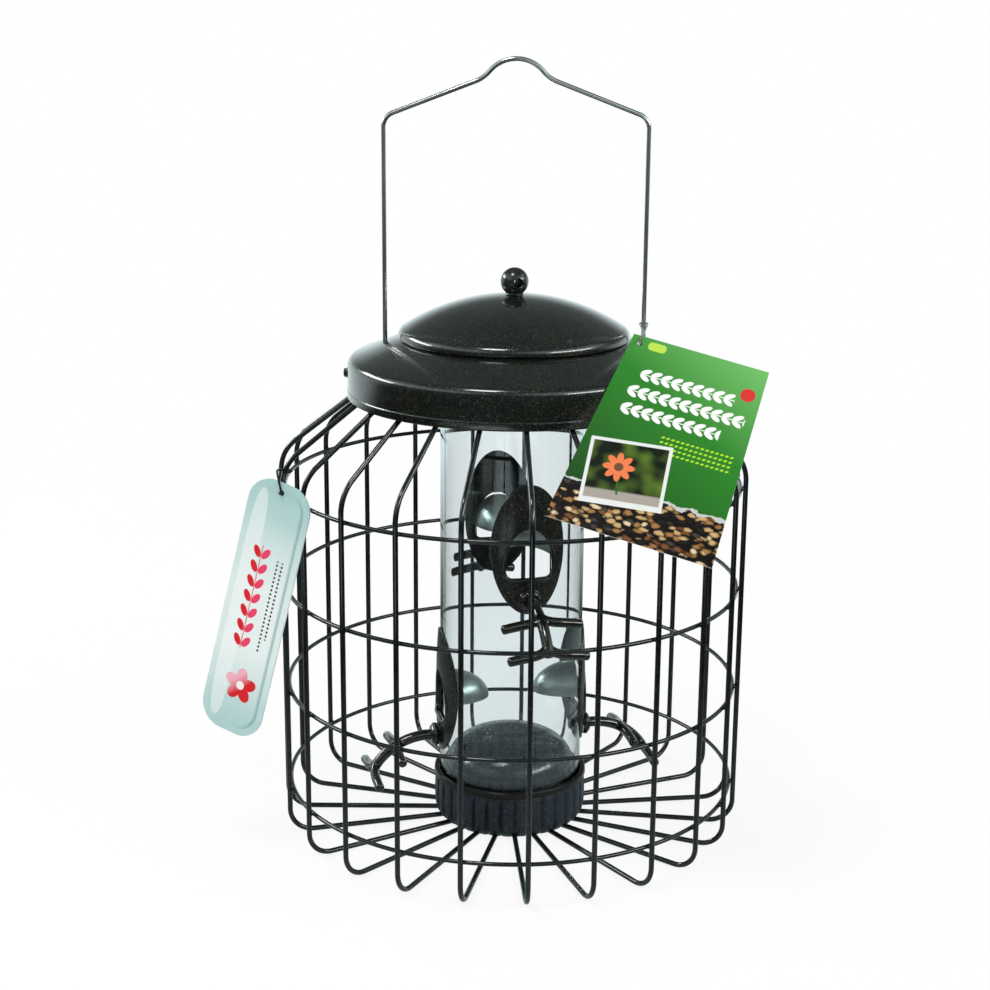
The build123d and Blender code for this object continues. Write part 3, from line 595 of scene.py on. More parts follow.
def makeSideScrews():
    head, top, washer, rim = screws["headRadius"], screws["headTop"], screws["washer"], screws["washerTop"]
    shank, deep = screws["shank"], -screws["shankLength"]
    bm = bmesh.new()
    lathe(bm, roundCorners([
        (0, deep, 0), (shank, deep, 0.3), (shank, 0, 0), (washer, 0, 0.1), (washer, rim, 0.2),
        (head * 0.8, rim + 0.1, 0)], 3, closed=False) + [(0, rim + 0.1)], 24, closed=False)
    lathe(bm, [(0, rim), (head, rim), (head, top - 0.35), (head - 0.35, top), (1.2, top), (1.0, top - 0.7),
               (0, top - 0.7)], 6, closed=False)
    bm.transform(shift(screws["sideFace"], 0, screws["sideHeight"]) @ spin("Y", 90))
    piece = finishMesh(bm, "sideScrew", sharp=25)
    copyRound(piece, knobPaint, 2, 0, 180)
    return takeMesh(piece, "sideScrews", 25)


def makeFloorScrews():
    head, shank, top = screws["floorHead"], screws["floorShank"], screws["floorTop"]
    screw = turnedPiece("floorScrew", [
        (0, 0.02), (head - 0.15, 0.02), (head, 0.15), (shank, screws["floorSink"]), (shank, top - 0.4),
        (shank - 0.4, top), (0, top)], 32, closed=False, sharp=25)
    for turn in (0, 90):
        cutter = bmesh.new()
        bmesh.ops.create_cube(cutter, size=1, matrix=spin("Z", turn) @ Matrix.Diagonal((*screws["slot"], 1)))
        screw = cutAway(screw, finishMesh(cutter, "slotCut"))
    screw.data.transform(shift(0, screws["floorCircle"] * mm, 0))
    copyRound(screw, steel, 3, 0, 120)
    return takeMesh(screw, "floorScrews", 25)


dress(makeSideScrews(), ["roof_screws"])
dress(makeFloorScrews(), ["base_screws"])
print("handle and screws made")


# Feed tube: a clear wall with four openings, laid on a grid so that it stays smooth

ports = {"azimuth": 283.4, "high": 160.0, "low": 73.7}
tube = {
    "radius": 38.0, "inner": 36.7, "bottom": 5.25, "top": 268.4, "segments": 192,
    "openSteps": 10, "openLow": -15.3, "openHigh": 11.0, "pinSteps": 2, "pinDrop": 26.0, "pinHalf": 2.0,
}


def makeTube():
    segments, quarter = tube["segments"], tube["segments"] // 4
    low, high, drop, pin = tube["openLow"], tube["openHigh"], tube["pinDrop"], tube["pinHalf"]
    heights = {tube["bottom"], tube["top"]}
    for z in (ports["high"], ports["low"]):
        heights |= {z + low, z + high, z - drop - pin, z - drop + pin}
    heights = sorted(heights)

    def isOpen(column, foot, head):
        # ports stand at every quarter turn, high and low by turns
        place, offset = divmod(column + quarter // 2, quarter)
        offset -= quarter // 2
        middle = (foot + head) / 2 - ports["low" if place % 2 else "high"]
        return (-tube["openSteps"] <= offset < tube["openSteps"] and low < middle < high
                or -tube["pinSteps"] <= offset < tube["pinSteps"] and abs(middle + drop) < pin)

    bm = bmesh.new()
    grid = {}
    for wall, radius in enumerate((tube["radius"], tube["inner"])):
        for row, z in enumerate(heights):
            for column in range(segments):
                grid[wall, row, column] = bm.verts.new(polar(radius, ports["azimuth"] + column * 360 / segments, z))
    solid = {(row, column) for row in range(len(heights) - 1) for column in range(segments)
             if not isOpen(column, heights[row], heights[row + 1])}
    for row, column in solid:
        ahead = (column + 1) % segments
        for wall in (0, 1):
            bm.faces.new([grid[wall, row, column], grid[wall, row, ahead],
                          grid[wall, row + 1, ahead], grid[wall, row + 1, column]])
        for other, a, b in (((row - 1, column), (row, column), (row, ahead)),
                            ((row + 1, column), (row + 1, column), (row + 1, ahead)),
                            ((row, (column - 1) % segments), (row, column), (row + 1, column)),
                            ((row, ahead), (row, ahead), (row + 1, ahead))):
            if other not in solid:
                bm.faces.new([grid[0, *a], grid[0, *b], grid[1, *b], grid[1, *a]])
    return finishMesh(bm, "feedTube", clearTube)


dress(makeTube(), ["feed_tube"])


# Port plates, with the bead on their sill, and the hoods behind them

plate = {
    "inner": 38.1, "thick": 1.1, "crownRise": 1.0, "halfWidth": 19.2, "halfHeight": 34.3, "edge": 0.55,
    "openHalf": 12.4, "spring": -8.7, "crown": 11.0, "sill": -15.3, "corner": 5.0, "cornerSteps": 12,
    "loop": 144, "bead": 1.15, "beadEnd": 0.35, "beadOut": 0.75, "beadSteps": 14,
}
hood = {"wall": 35.85, "depth": 23.5, "half": 14.2, "height": 15.5, "foot": -5.0, "sheet": 1.2, "edge": 0.35}


def atPorts(piece, finish, name, sharp=35):
    copyRound(piece, finish, 4, ports["azimuth"], 90, ports["high"], ports["low"])
    return takeMesh(piece, name, sharp)


def openingOutline():
    half, spring, corner = plate["openHalf"], plate["spring"], plate["corner"]
    points = [(half * cos(a), spring + (plate["crown"] - spring) * sin(a)) for a in spread(0, pi, 48)]
    for middle, start in ((corner - half, pi), (half - corner, -pi / 2)):
        points += [(middle + corner * cos(a), plate["sill"] + corner + corner * sin(a))
                   for a in spread(start, start + pi / 2, plate["cornerSteps"])]
    return points


def rayHit(outline, centre, angle):
    ray = Vector((cos(angle), sin(angle)))
    best = 0
    for a, b in zip(outline, outline[1:] + outline[:1]):
        a, side = Vector(a) - centre, Vector(b) - Vector(a)
        cross = ray.x * side.y - ray.y * side.x
        if abs(cross) < 1e-9:
            continue
        far = (a.x * side.y - a.y * side.x) / cross
        share = (a.x * ray.y - a.y * ray.x) / cross
        if far > best and -1e-6 <= share <= 1 + 1e-6:
            best = far
    return centre + ray * best


def onPlate(y, z, rise):
    return Vector((sqrt((plate["inner"] + rise) ** 2 - y ** 2), y, z))


def makePlates():
    centre, turns = Vector((0, -3.0)), spread(0, 2 * pi, plate["loop"])[:-1]
    oval = [(plate["halfWidth"] * cos(a), plate["halfHeight"] * sin(a)) for a in turns]
    outer, inner = ([rayHit(outline, centre, a) for a in turns] for outline in (oval, openingOutline()))
    thick, edge, crown = plate["thick"], plate["edge"], plate["crownRise"]
    steps = [(0, 0), (0, thick - edge)]
    steps += [(edge * (1 - cos(a)), thick - edge + edge * sin(a)) for a in spread(0.3, pi / 2, 4)]

    def rim(starts, goals, inset, rise):
        spots = [start + (goal - start).normalized() * inset for start, goal in zip(starts, goals)]
        return [onPlate(*spot, rise) for spot in spots]

    def between(share, rise):
        return [onPlate(*far.lerp(near, share), rise) for far, near in zip(outer, inner)]

    top = [(inset * 1.3, rise + crown * min(1, rise / thick)) for inset, rise in steps]
    loops = [rim(outer, inner, *step) for step in steps]
    loops += [between(share, thick + crown * sin(pi * share * 0.5)) for share in (0.2, 0.4, 0.6, 0.8)]
    loops += [rim(inner, outer, *step) for step in reversed(top)]
    loops += [between(share, 0) for share in (0.66, 0.33)]
    bm = bmesh.new()
    joinLoops(bm, loops)
    return atPorts(finishMesh(bm, "plate"), castPaint, "portPlates")


def makeSills():
    # a raised bead round the foot of each opening, thinning out up its sides
    flat, sides = openingOutline(), plate["beadSteps"]
    spots = flat[-2 * (plate["cornerSteps"] + 1) - sides:] + flat[:sides]
    path, radii = [], []
    for i, (y, z) in enumerate(spots):
        outward = Vector((y, z + 6)).normalized() * plate["beadOut"]
        path.append(onPlate(y + outward.x, z + outward.y, plate["thick"] + plate["crownRise"] - 0.25))
        fade = min(1, i / sides, (len(spots) - 1 - i) / sides)
        radii.append(plate["beadEnd"] + (plate["bead"] - plate["beadEnd"]) * sin(fade * pi / 2))
    bm = bmesh.new()
    sweep(bm, path, radii)
    return atPorts(finishMesh(bm, "sill", sharp=60), perchPaint, "sillBeads", 60)


def makeHoods():
    half, wall = hood["half"], hood["wall"]
    bm = bmesh.new()
    grid = []
    for a in spread(0, radians(88), 22):
        line = []
        for b in spread(0, pi, 36):
            y = half * cos(a) * cos(b)
            x = min(wall - hood["depth"] * sin(a), sqrt(wall ** 2 - y ** 2))
            line.append(bm.verts.new((x, y, hood["foot"] + hood["height"] * cos(a) * sin(b))))
        grid.append(line)
    for low, high in zip(grid, grid[1:]):
        for i in range(len(low) - 1):
            bm.faces.new([low[i], low[i + 1], high[i + 1], high[i]])
    piece = finishMesh(bm, "hood", recalc=False)
    skin = piece.modifiers.new("Skin", "SOLIDIFY")
    skin.thickness = hood["sheet"] * mm
    skin.offset = 1
    edge = piece.modifiers.new("Edge", "BEVEL")
    edge.width = hood["edge"] * mm
    edge.segments = 2
    return atPorts(piece, pewterPaint, "portHoods")


dress(makePlates(), numbered("port_plate", 4))
dress(makeSills(), [])
dress(makeHoods(), numbered("port_hood", 4))
print("tube and ports made")


# Perches: a cast branch, and the turned collar that it stands on

perch = {
    "drop": 26.0, "start": 43.4, "straight": 46.0, "bend": 34.6, "bendAngle": 63.0, "wire": 5.7, "arm": 5.0,
    "roots": (24.0, 53.5), "reach": 21.3, "lead": 4.2, "armDrop": 2.2, "yaw": 2.3,
    "shares": ((0, 0), (0.05, 0.30), (0.11, 0.56), (0.19, 0.78), (0.30, 0.92), (0.45, 0.99), (0.7, 1.0), (1.0, 0.98)),
    "blunt": 1.3, "tip": (0, 0.25, 0.6, 1.0), "voxel": 0.36, "soften": 8, "spigot": 1.6, "spigotStart": 33.4,
}
collar = {"inner": 38.15, "face": 43.2, "radius": 6.4, "domeRadius": 5.2, "domeTop": 44.2}
perchAxis = shift(0, 0, -perch["drop"]) @ spin("Y", 90)


def stemPoint(angle):
    turn = radians(angle)
    return Vector((perch["straight"] + perch["bend"] * sin(turn), 0, -perch["bend"] * (1 - cos(turn))))


def makePerches():
    # stem and arms overlap, then melt together and soften like a casting
    bm = bmesh.new()

    def rod(spots, size):
        # short steps near each end give the blunt tip its rounding
        head, tail = (spots[0] - spots[1]).normalized(), (spots[-1] - spots[-2]).normalized()
        spots = ([spots[0] - head * step for step in perch["tip"]] + spots[1:-1]
                 + [spots[-1] - tail * step for step in reversed(perch["tip"])])
        ends = [min((p - spots[0]).length, (p - spots[-1]).length) for p in spots]
        radii = [size / 2 * sqrt(1 - (1 - min(1, (e + 0.08) / perch["blunt"])) ** 2) for e in ends]
        sweep(bm, spots, radii, 20)

    rod([Vector((perch["start"] - 1.5, 0, 0))] + [stemPoint(a) for a in spread(0, perch["bendAngle"], 14)],
        perch["wire"])
    for angle in perch["roots"]:
        root, turn = stemPoint(angle), radians(angle)
        ahead = Vector((cos(turn), 0, -sin(turn))) * perch["lead"]
        for flip in (1, -1):
            rod([root + ahead * lead + Vector((0, perch["reach"] * side * flip, -perch["armDrop"] * side ** 2))
                 for side, lead in perch["shares"]], perch["arm"])
    bm.transform(shift(collar["face"], 0, 0) @ spin("Z", perch["yaw"]) @ shift(-collar["face"], 0, 0))
    bm.transform(shift(0, 0, -perch["drop"]))
    piece = finishMesh(bm, "perch", recalc=False)
    blend = piece.modifiers.new("Blend", "REMESH")
    blend.mode = "VOXEL"
    blend.voxel_size = perch["voxel"] * mm
    soft = piece.modifiers.new("Soften", "SMOOTH")
    soft.factor = 0.5
    soft.iterations = perch["soften"]
    return atPorts(piece, perchPaint, "perches", 180)


def makeCollars():
    face, top, radius, dome = collar["face"], collar["domeTop"], collar["radius"], collar["domeRadius"]
    bore = perch["spigot"] + 0.1
    return atPorts(turnedPiece("collar", roundCorners([
        (bore, collar["inner"] + 3, 0), (radius - 0.6, collar["inner"] + 2.0, 0.2), (radius, face - 1.2, 0.5),
        (radius - 0.3, face - 0.55, 0.25), (dome + 0.1, face - 0.6, 0.15), (dome + 0.25, face - 0.1, 0.3),
        (dome - 0.7, top - 0.15, 0.8), (perch["wire"] / 2 + 0.25, top + 0.05, 0.2), (bore, top - 0.2, 0)], 4),
        48, sharp=50, place=perchAxis), perchPaint, "perchCollars", 50)


def makeSpigots():
    # the pin behind each collar, through the tube into its nut
    radius, start, end = perch["spigot"], perch["spigotStart"], perch["start"] + 1
    return atPorts(turnedPiece("spigot", [
        (0, start), (radius - 0.3, start), (radius, start + 0.3), (radius, end), (0, end)],
        24, closed=False, place=perchAxis), steel, "perchSpigots")


dress(makePerches(), numbered("perch", 4))
dress(makeCollars(), ["perch_collars"])
dress(makeSpigots(), [])
print("perches made")


# Base cap with its pressed flutes and turned lip, and the hat that spreads the seed

cap = {
    "bottom": 2.75, "top": 27.1, "floor": 5.15, "radius": 40.9, "bore": 38.2, "lobes": 33, "perLobe": 14,
    "crease": 1.7, "creaseSides": (0.08, 0.20), "firstCrease": 273.7, "rim": 0.35, "foot": 6.0, "bulge": 0.7,
    "lipHeight": 3.6, "lipFlare": 0.3, "fade": 3.0,
}
hat = {"foot": 5.25, "radius": 34.5, "wall": 24.0, "height": 40.6, "top": 11.0, "sheet": 1.2}


def makeCap():
    around, top, bottom, floor, rim = cap["lobes"] * cap["perLobe"], cap["top"], cap["bottom"], cap["floor"], cap["rim"]
    radius, bore, foot, fade = cap["radius"], cap["bore"], cap["foot"], cap["fade"]
    lip, wall = top - cap["lipHeight"], rim + foot
    # levels hold (inset, height, depth of the flutes)
    levels = [(foot * 0.8 * (1 - sin(a)), wall - foot * cos(a), 0.5 + 0.5 * sin(a)) for a in spread(0.12, pi / 2, 8)]
    levels += [(0, z, 1.0) for z in spread(wall + 1.0, lip - fade, 8)]
    levels += [(0, lip - fade * (1 - share), 1 - 0.85 * share) for share in (0.25, 0.5, 0.75, 1.0)]
    turns = [cap["firstCrease"] + 360 * i / around for i in range(around)]
    offsets = [(i / cap["perLobe"] + 0.5) % 1 - 0.5 for i in range(around)]
    valleys = [exp(-(offset / cap["creaseSides"][offset >= 0]) ** 2) for offset in offsets]
    loops = []
    for inset, z, depth in levels:
        # the wall swells a little below its middle, and each flute is a soft valley
        swell = cap["bulge"] * (1 - sin(pi * min(1, max(0, (z - bottom) / (lip - bottom)))) ** 0.6)
        loops.append([polar(radius - inset - swell - valley * cap["crease"] * depth, turn, z)
                      for turn, valley in zip(turns, valleys)])
    inside = ((radius - 0.9, lip + 0.1), (bore, lip + 0.1), (bore, floor + 1), (bore - 0.3, floor + 0.3),
              (bore - 1, floor), (4, floor), (4, bottom + 0.3), (30, bottom + 0.3), (31, bottom), (34, bottom),
              (34.8, rim + 0.4), (35.4, rim))
    bm = bmesh.new()
    joinLoops(bm, loops + [[polar(r, turn, z) for turn in turns] for r, z in inside])
    body = finishMesh(bm, "capBody", capPaint, sharp=80)
    outer = radius + cap["lipFlare"]
    return body, turnedPiece("capLip", roundCorners([
        (bore, lip + 0.15, 0.2), (outer - 0.5, lip + 0.15, 0.2), (outer, lip + 0.7, 0.4), (outer - 0.15, top, 0.9),
        (bore + 0.5, top - 0.1, 0.5), (bore, top - 1.2, 0.3)], 6), 160, lipGloss)


def makeHat():
    foot, wall, height, crown = hat["foot"], hat["foot"] + hat["wall"], hat["foot"] + hat["height"], hat["top"]

    def side(radius, top):
        line = [(radius, foot), (radius, foot + 0.4), (radius, wall - 6)]
        line += [(crown + (radius - crown) * cos(a), wall + (top - wall) * sin(a)) for a in spread(0, pi / 2, 22)]
        return line + [(crown * 0.5, top), (0, top)]

    inside = side(hat["radius"] - hat["sheet"], height - hat["sheet"])
    return turnedPiece("seedHat", side(hat["radius"], height) + inside[::-1], 128, hatPlastic)


capBody, capLip = makeCap()
dress(capBody, ["base_cap"])
dress(capLip, [])
dress(makeHat(), ["seed_deflector"])
print("base made")


# Printed card and strip tag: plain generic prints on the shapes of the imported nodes

cardFace = {
    "hole": (60.75, -57.4, 270.817), "right": (0.935008, -0.279306, -0.218515),
    "up": (0.348662, 0.611489, 0.710293),
}
tagFace = {
    "hole": (-112.9, -62.9448, 195.79), "right": (0.874793, -0.429555, -0.224095),
    "up": (0.239764, -0.018103, 0.970662),
}


def labelFinish(name, face, **values):
    # local millimetres on a label: x to its right, y up, from its hole
    right, up = Vector(face["right"]), Vector(face["up"])
    turn = Matrix((right, up, right.cross(up))).transposed().to_euler()
    finish, shader, place = newFinish(name, **values)
    local = addNode(owner(place), "ShaderNodeMapping", {
        "Vector": place, "Location": [v * mm for v in face["hole"]], "Rotation": turn, "Scale": (mm, mm, mm)},
        vector_type="TEXTURE").outputs[0]
    return finish, shader, local, addNode(owner(local), "ShaderNodeSeparateXYZ", {0: local}).outputs


def turned(x, y, centre, angle):
    dx, dy = minus(x, centre[0]), minus(y, centre[1])
    c, s = cos(radians(angle)), sin(radians(angle))
    return times(dx, c, times(dy, s)), times(dy, c, times(dx, -s))


def boxMask(x, y, centre, size, angle=0.0, corner=0.5, soft=0.12):
    past = [minus(calc("ABSOLUTE", way), side / 2 - corner)
            for way, side in zip(turned(x, y, centre, angle), size)]
    outX, outY = (most(way, 0.0) for way in past)
    away = calc("SQRT", times(outX, outX, times(outY, outY)))
    away = calc("ADD", away, calc("MINIMUM", most(*past), 0.0))
    return remap(away, corner + soft, corner - soft)


def ovalMask(x, y, centre, size, angle=0.0, soft=0.12):
    dx, dy = (calc("DIVIDE", way, side / 2) for way, side in zip(turned(x, y, centre, angle), size))
    edge = 2 * soft / min(size)
    return remap(calc("SQRT", times(dx, dx, times(dy, dy))), 1 + edge, 1 - edge)


def repeat(value, pitch):
    return minus(calc("FLOORED_MODULO", value, pitch), pitch / 2)


def leafRow(x, y, start, width, pitch, leaf, angle):
    # a garland: leaves by turns above and below a stalk
    middle = (start[0] + width / 2, start[1])
    along, rise = calc("FLOORED_MODULO", minus(x, start[0]), pitch), minus(y, start[1])
    leaves = most(*(ovalMask(along, rise, (pitch * 0.5, leaf[1] * 0.72 * side), leaf, angle * side)
                    for side in (1, -1)))
    inside = boxMask(x, y, middle, (width, 12), corner=0.1)
    return most(times(leaves, inside), boxMask(x, y, middle, (width, 0.5), corner=0.2))


def petals(x, y, centre, reach, size, turns):
    return most(*(ovalMask(x, y, (centre[0] + reach * cos(radians(turn)), centre[1] + reach * sin(radians(turn))),
                           size, turn) for turn in turns))


def coats(tone, *pairs):
    # colours laid over a tone one after another, each with its mask
    for colour, mask in pairs:
        tone = layer(tone, colour, mask)
    return tone


def seedHeap(local):
    stretched = addNode(owner(local), "ShaderNodeMapping", {
        "Vector": local, "Rotation": (0, 0, 0.6), "Scale": (0.23, 0.42, 0.0)}).outputs[0]
    drift = addNode(owner(local), "ShaderNodeTexNoise", {"Vector": local, "Scale": 0.25}).outputs["Color"]
    wobble = addNode(owner(local), "ShaderNodeVectorMath", {0: stretched, 1: drift}, operation="ADD").outputs[0]
    seeds = addNode(owner(local), "ShaderNodeTexVoronoi", {"Vector": wobble, "Scale": 1.0, "Randomness": 0.9})
    pick = addNode(owner(local), "ShaderNodeSeparateColor", {0: seeds.outputs["Color"]}).outputs[0]
    kinds = addNode(owner(local), "ShaderNodeValToRGB", {0: pick})
    ramp = kinds.color_ramp
    ramp.interpolation = "CONSTANT"
    shades = [(0.0, (0.012, 0.011, 0.010)), (0.26, (0.34, 0.17, 0.055)), (0.48, (0.55, 0.36, 0.16)),
              (0.68, (0.05, 0.045, 0.04)), (0.82, (0.72, 0.56, 0.33)), (0.93, (0.18, 0.07, 0.02))]
    for position, shade in shades[2:]:
        ramp.elements.new(position)
    for element, (position, shade) in zip(ramp.elements, shades):
        element.position, element.color = position, opaque(shade)
    return layer(kinds.outputs[0], (0.004, 0.003, 0.002), remap(seeds.outputs["Distance"], 0.30, 0.60))


def makeCardFinish():
    finish, shader, local, (x, y, z) = labelFinish("cardPrint", cardFace, Coat_Weight=0.0, Specular_IOR_Level=0.08)
    # green ground, lighter towards the upper right
    slant = times(x, 0.55, y)
    tone = layer((0.009, 0.070, 0.008), (0.022, 0.20, 0.018), remap(slant, -80, -20))
    tone = layer(tone, (0.16, 0.48, 0.13), remap(slant, -14, 42))
    # three white garlands, small lime dots below them, and two small plain chips
    for start, width in (((6, -16), 47), ((3, -26), 58), ((3, -36), 49)):
        tone = layer(tone, (0.86, 0.88, 0.84), leafRow(x, y, start, width, 5.2, (5.4, 2.4), 28))
    dots = ovalMask(repeat(x, 2.4), repeat(y, 2.6), (0, 0), (1.7, 1.0), 20)
    tone = coats(tone,
                 ((0.42, 0.72, 0.03), times(dots, boxMask(x, y, (44.4, -49.4), (36, 10.4), corner=0.1))),
                 ((0.45, 0.70, 0.08), boxMask(x, y, (9, 0.2), (9, 4.6), 0, 2.0)),
                 ((0.62, 0.035, 0.03), boxMask(x, y, (58, -11), (7, 7), 0, 3.2)))
    # seed band under a torn white edge
    above = minus(y, times(noise(local, 0.16, 3.0), 9.0, -84.0))
    tone = coats(tone, ((0.50, 0.55, 0.52), remap(above, 1.5, 1.2)), (seedHeap(local), remap(above, 0.15, -0.15)))
    # a small tilted picture: an orange flower over a dark garden
    px, py = turned(x, y, (17.5, -69.5), 9.0)
    garden = layer((0.003, 0.009, 0.003), (0.10, 0.19, 0.02), remap(noise(local, 0.09, 1.0), 0.42, 0.75))
    garden = coats(garden,
                   ((0.36, 0.33, 0.29), remap(py, -9.2, -10.2)),
                   ((0.03, 0.12, 0.02), boxMask(px, py, (-3.2, -5), (1.0, 13), 6, 0.4)),
                   ((0.80, 0.20, 0.07), petals(px, py, (-4, 3), 4.4, (6.4, 3.3), range(0, 360, 45))),
                   ((0.16, 0.07, 0.03), ovalMask(px, py, (-4, 3), (4.4, 4.4))))
    tone = coats(tone,
                 ((0.72, 0.75, 0.73), boxMask(px, py, (0, 0), (39, 35), 0, 0.6)),
                 (garden, boxMask(px, py, (0, 0.6), (35.6, 30.4), 0, 0.2)))
    # the back and the cut edges are bare board
    board = layer((0.78, 0.78, 0.75), (0.84, 0.84, 0.81), noise(local, 1.5, 4.0))
    surface(shader, layer(board, tone, remap(z, 0.33, 0.36)), remap(noise(local, 0.7, 3.0), 0.3, 0.7, 0.40, 0.48),
            noise(local, 2.5, 3.0), 0.3, 0.03)
    return finish


def makeTagFinish():
    finish, shader, local, (x, y, z) = labelFinish(
        "tagPrint", tagFace, Coat_Weight=0.3, Coat_Roughness=0.15, Specular_IOR_Level=0.3)
    deep, mid, pale = (0.40, 0.63, 0.61), (0.56, 0.74, 0.72), (0.83, 0.92, 0.90)
    tone = coats(layer(deep, mid, remap(y, 2, -28)), (pale, remap(y, -14, -52)), (mid, remap(y, -84, -112)),
                 (deep, remap(y, -106, -132)))
    # darker border, and a painted highlight: a soft pale sheen that runs down the left
    inset = boxMask(x, y, (0, -62.5), (29, 128), 0, 10.5, 0.6)
    tone = layer(layer(tone, (0.50, 0.72, 0.70), 0.28), tone, inset)
    wide, tall = (calc("POWER", calc("ABSOLUTE", calc("DIVIDE", calc("ADD", way, out), half)), power)
                  for way, out, half, power in ((x, 9.8, 4.6, 2.2), (y, 62.5, 62, 6.0)))
    highlightPanel = remap(calc("ADD", wide, tall), 1.06, 0.94)
    # painted shade: a dark line along the edge of the raised middle, strong at the right and the foot
    whole = boxMask(x, y, (0, -62.5), (29.4, 128.4), 0, 10.7, 0.35)
    core = boxMask(x, y, (-0.9, -61.9), (28.2, 127.4), 0, 10.2, 0.7)
    line = times(most(minus(whole, core), 0.0), remap(x, 4, 12))
    # a generic flowering stem in place of any print, and two dotted lines
    red = (0.72, 0.012, 0.02)
    side, along = turned(x, y, (-3.5, -58), 90)
    # first the painted highlight and the painted shade along the edge, then the printed stem, flower and dots
    tone = coats(tone,
                 ((0.90, 0.965, 0.945), times(highlightPanel, 0.5)),
                 ((0.22, 0.42, 0.42), times(line, 0.75)),
                 (layer((0.86, 0.055, 0.14), red, remap(along, -1.5, 2.0)),
                  leafRow(side, along, (-27, 0), 56, 8.0, (6.6, 3.6), 34)),
                 (layer((0.90, 0.45, 0.55), red, remap(minus(x, y), 99, 108)),
                  petals(x, y, (1.5, -104), 5.0, (8.6, 6.4), range(18, 378, 72))),
                 ((0.93, 0.90, 0.86), ovalMask(x, y, (1.5, -104), (4.6, 4.6))))
    for column, low, high in ((6.6, -84, -34), (9.4, -76, -34)):
        dash = ovalMask(minus(x, column), repeat(y, 2.2), (0, 0), (1.2, 1.3))
        span = boxMask(x, y, (column, (low + high) / 2), (4, high - low), 0, 0.1)
        tone = layer(tone, (0.03, 0.035, 0.035), times(dash, span))
    surface(shader, layer((0.62, 0.78, 0.76), tone, remap(z, -0.05, 0.05)),
            remap(noise(local, 1.2), 0.3, 0.7, 0.27, 0.29), calc("ADD", highlightPanel, core), 0.6, 0.06)
    return finish


cardPrint = makeCardFinish()
tagPrint = makeTagFinish()
for name, finish in (("card_tag", cardPrint), ("strip_tag", tagPrint), ("cage_floor_plate", wirePaint),
                     ("side_brackets", steel), ("tube_rivets", steel), ("perch_nuts", steel), ("knob_screw", steel)):
    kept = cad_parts[name].data.materials
    kept.clear()
    kept.append(finish)


# The two cords that carry the labels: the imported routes, with the loop led a little clear of its tag

cords = {
    "thread": [(60.63, -58.77, 272.06), (60.84, -56.36, 269.88), (68.46, -0.83, 270.82), (68.46, 0.83, 270.82),
               (67.28, 2.01, 270.82), (65.62, 2.01, 270.82), (64.44, 0.83, 270.82), (64.44, -0.83, 270.82),
               (62.65, -54.95, 275.8), (60.98, -58.16, 272.77)],
    "threadSize": 0.9, "threadKnot": 0.8,
    "loop": [(-113.72, -64.71, 195.96), (-112.14, -61.32, 195.63), (-115.28, -36.57, 199.39),
             (-113.02, -35.91, 199.39), (-111.88, -33.84, 199.39), (-112.54, -31.57, 199.39),
             (-114.61, -30.43, 199.39), (-116.88, -31.09, 199.39), (-117.40, -47.50, 203.60),
             (-115.30, -65.20, 206.60), (-113.50, -65.10, 197.12)],
    "loopSize": 1.15, "loopKnot": 1.15,
}


def makeCordFinish(name, colour, rough, **values):
    finish, shader, place = newFinish(name, **values)
    fuzz = noise(place, 2500.0, 3.0)
    shade = layer(colour, tuple(v * 1.5 for v in colour), fuzz)
    surface(shader, shade, remap(fuzz, 0, 1, rough * 0.8, rough * 1.2), fuzz, 0.8, 0.05)
    return finish


def cordCurve(name, points, size, finish):
    curve = bpy.data.curves.new(name, "CURVE")
    curve.dimensions = "3D"
    curve.bevel_depth = size / 2 * mm
    curve.bevel_resolution = 4
    curve.use_fill_caps = True
    curve.resolution_u = 10
    line = curve.splines.new("NURBS")
    line.points.add(len(points) - 1)
    for spot, point in zip(line.points, points):
        spot.co = (*[v * mm for v in point], 1)
    line.order_u = 3
    line.use_endpoint_u = True
    curve.materials.append(finish)
    return addObject(name, curve)


def knotPiece(name, centre, size, finish):
    # a small overhand knot: a closed trefoil of the same cord
    bm = bmesh.new()
    loops = []
    for t in spread(0, 2 * pi, 60)[:-1]:
        spot = Vector((sin(t) + 2 * sin(2 * t), cos(t) - 2 * cos(2 * t), -sin(3 * t))) * (size / 4)
        ahead = Vector((cos(t) + 4 * cos(2 * t), -sin(t) + 4 * sin(2 * t), -3 * cos(3 * t))).normalized()
        across = ahead.cross(Vector((0, 0, 1))).normalized()
        loops.append(ringRound(spot, across, across.cross(ahead), size * 0.42, 8))
    joinLoops(bm, loops)
    bm.transform(shift(*centre))
    return finishMesh(bm, name, finish, sharp=180)


threadFinish = makeCordFinish("threadNylon", (0.20, 0.215, 0.215), 0.30, Transmission_Weight=0.35)
loopFinish = makeCordFinish("loopCord", (0.005, 0.005, 0.006), 0.5, Specular_IOR_Level=0.3)
thread = cordCurve("cardThread", cords["thread"], cords["threadSize"], threadFinish)
loop = cordCurve("tagLoop", cords["loop"], cords["loopSize"], loopFinish)
dress(thread, ["card_thread"])
dress(loop, ["strip_loop"])
loopKnot = knotPiece("tagKnot", cords["loop"][0], cords["loopKnot"], loopFinish)
dress(loopKnot, [])
threadKnot = knotPiece("cardKnot", cords["thread"][0], cords["threadKnot"], threadFinish)
dress(threadKnot, [])
print("labels made")


# Stage, in metres: pale floor, white surroundings, soft lamps, and the camera fitted to the photo

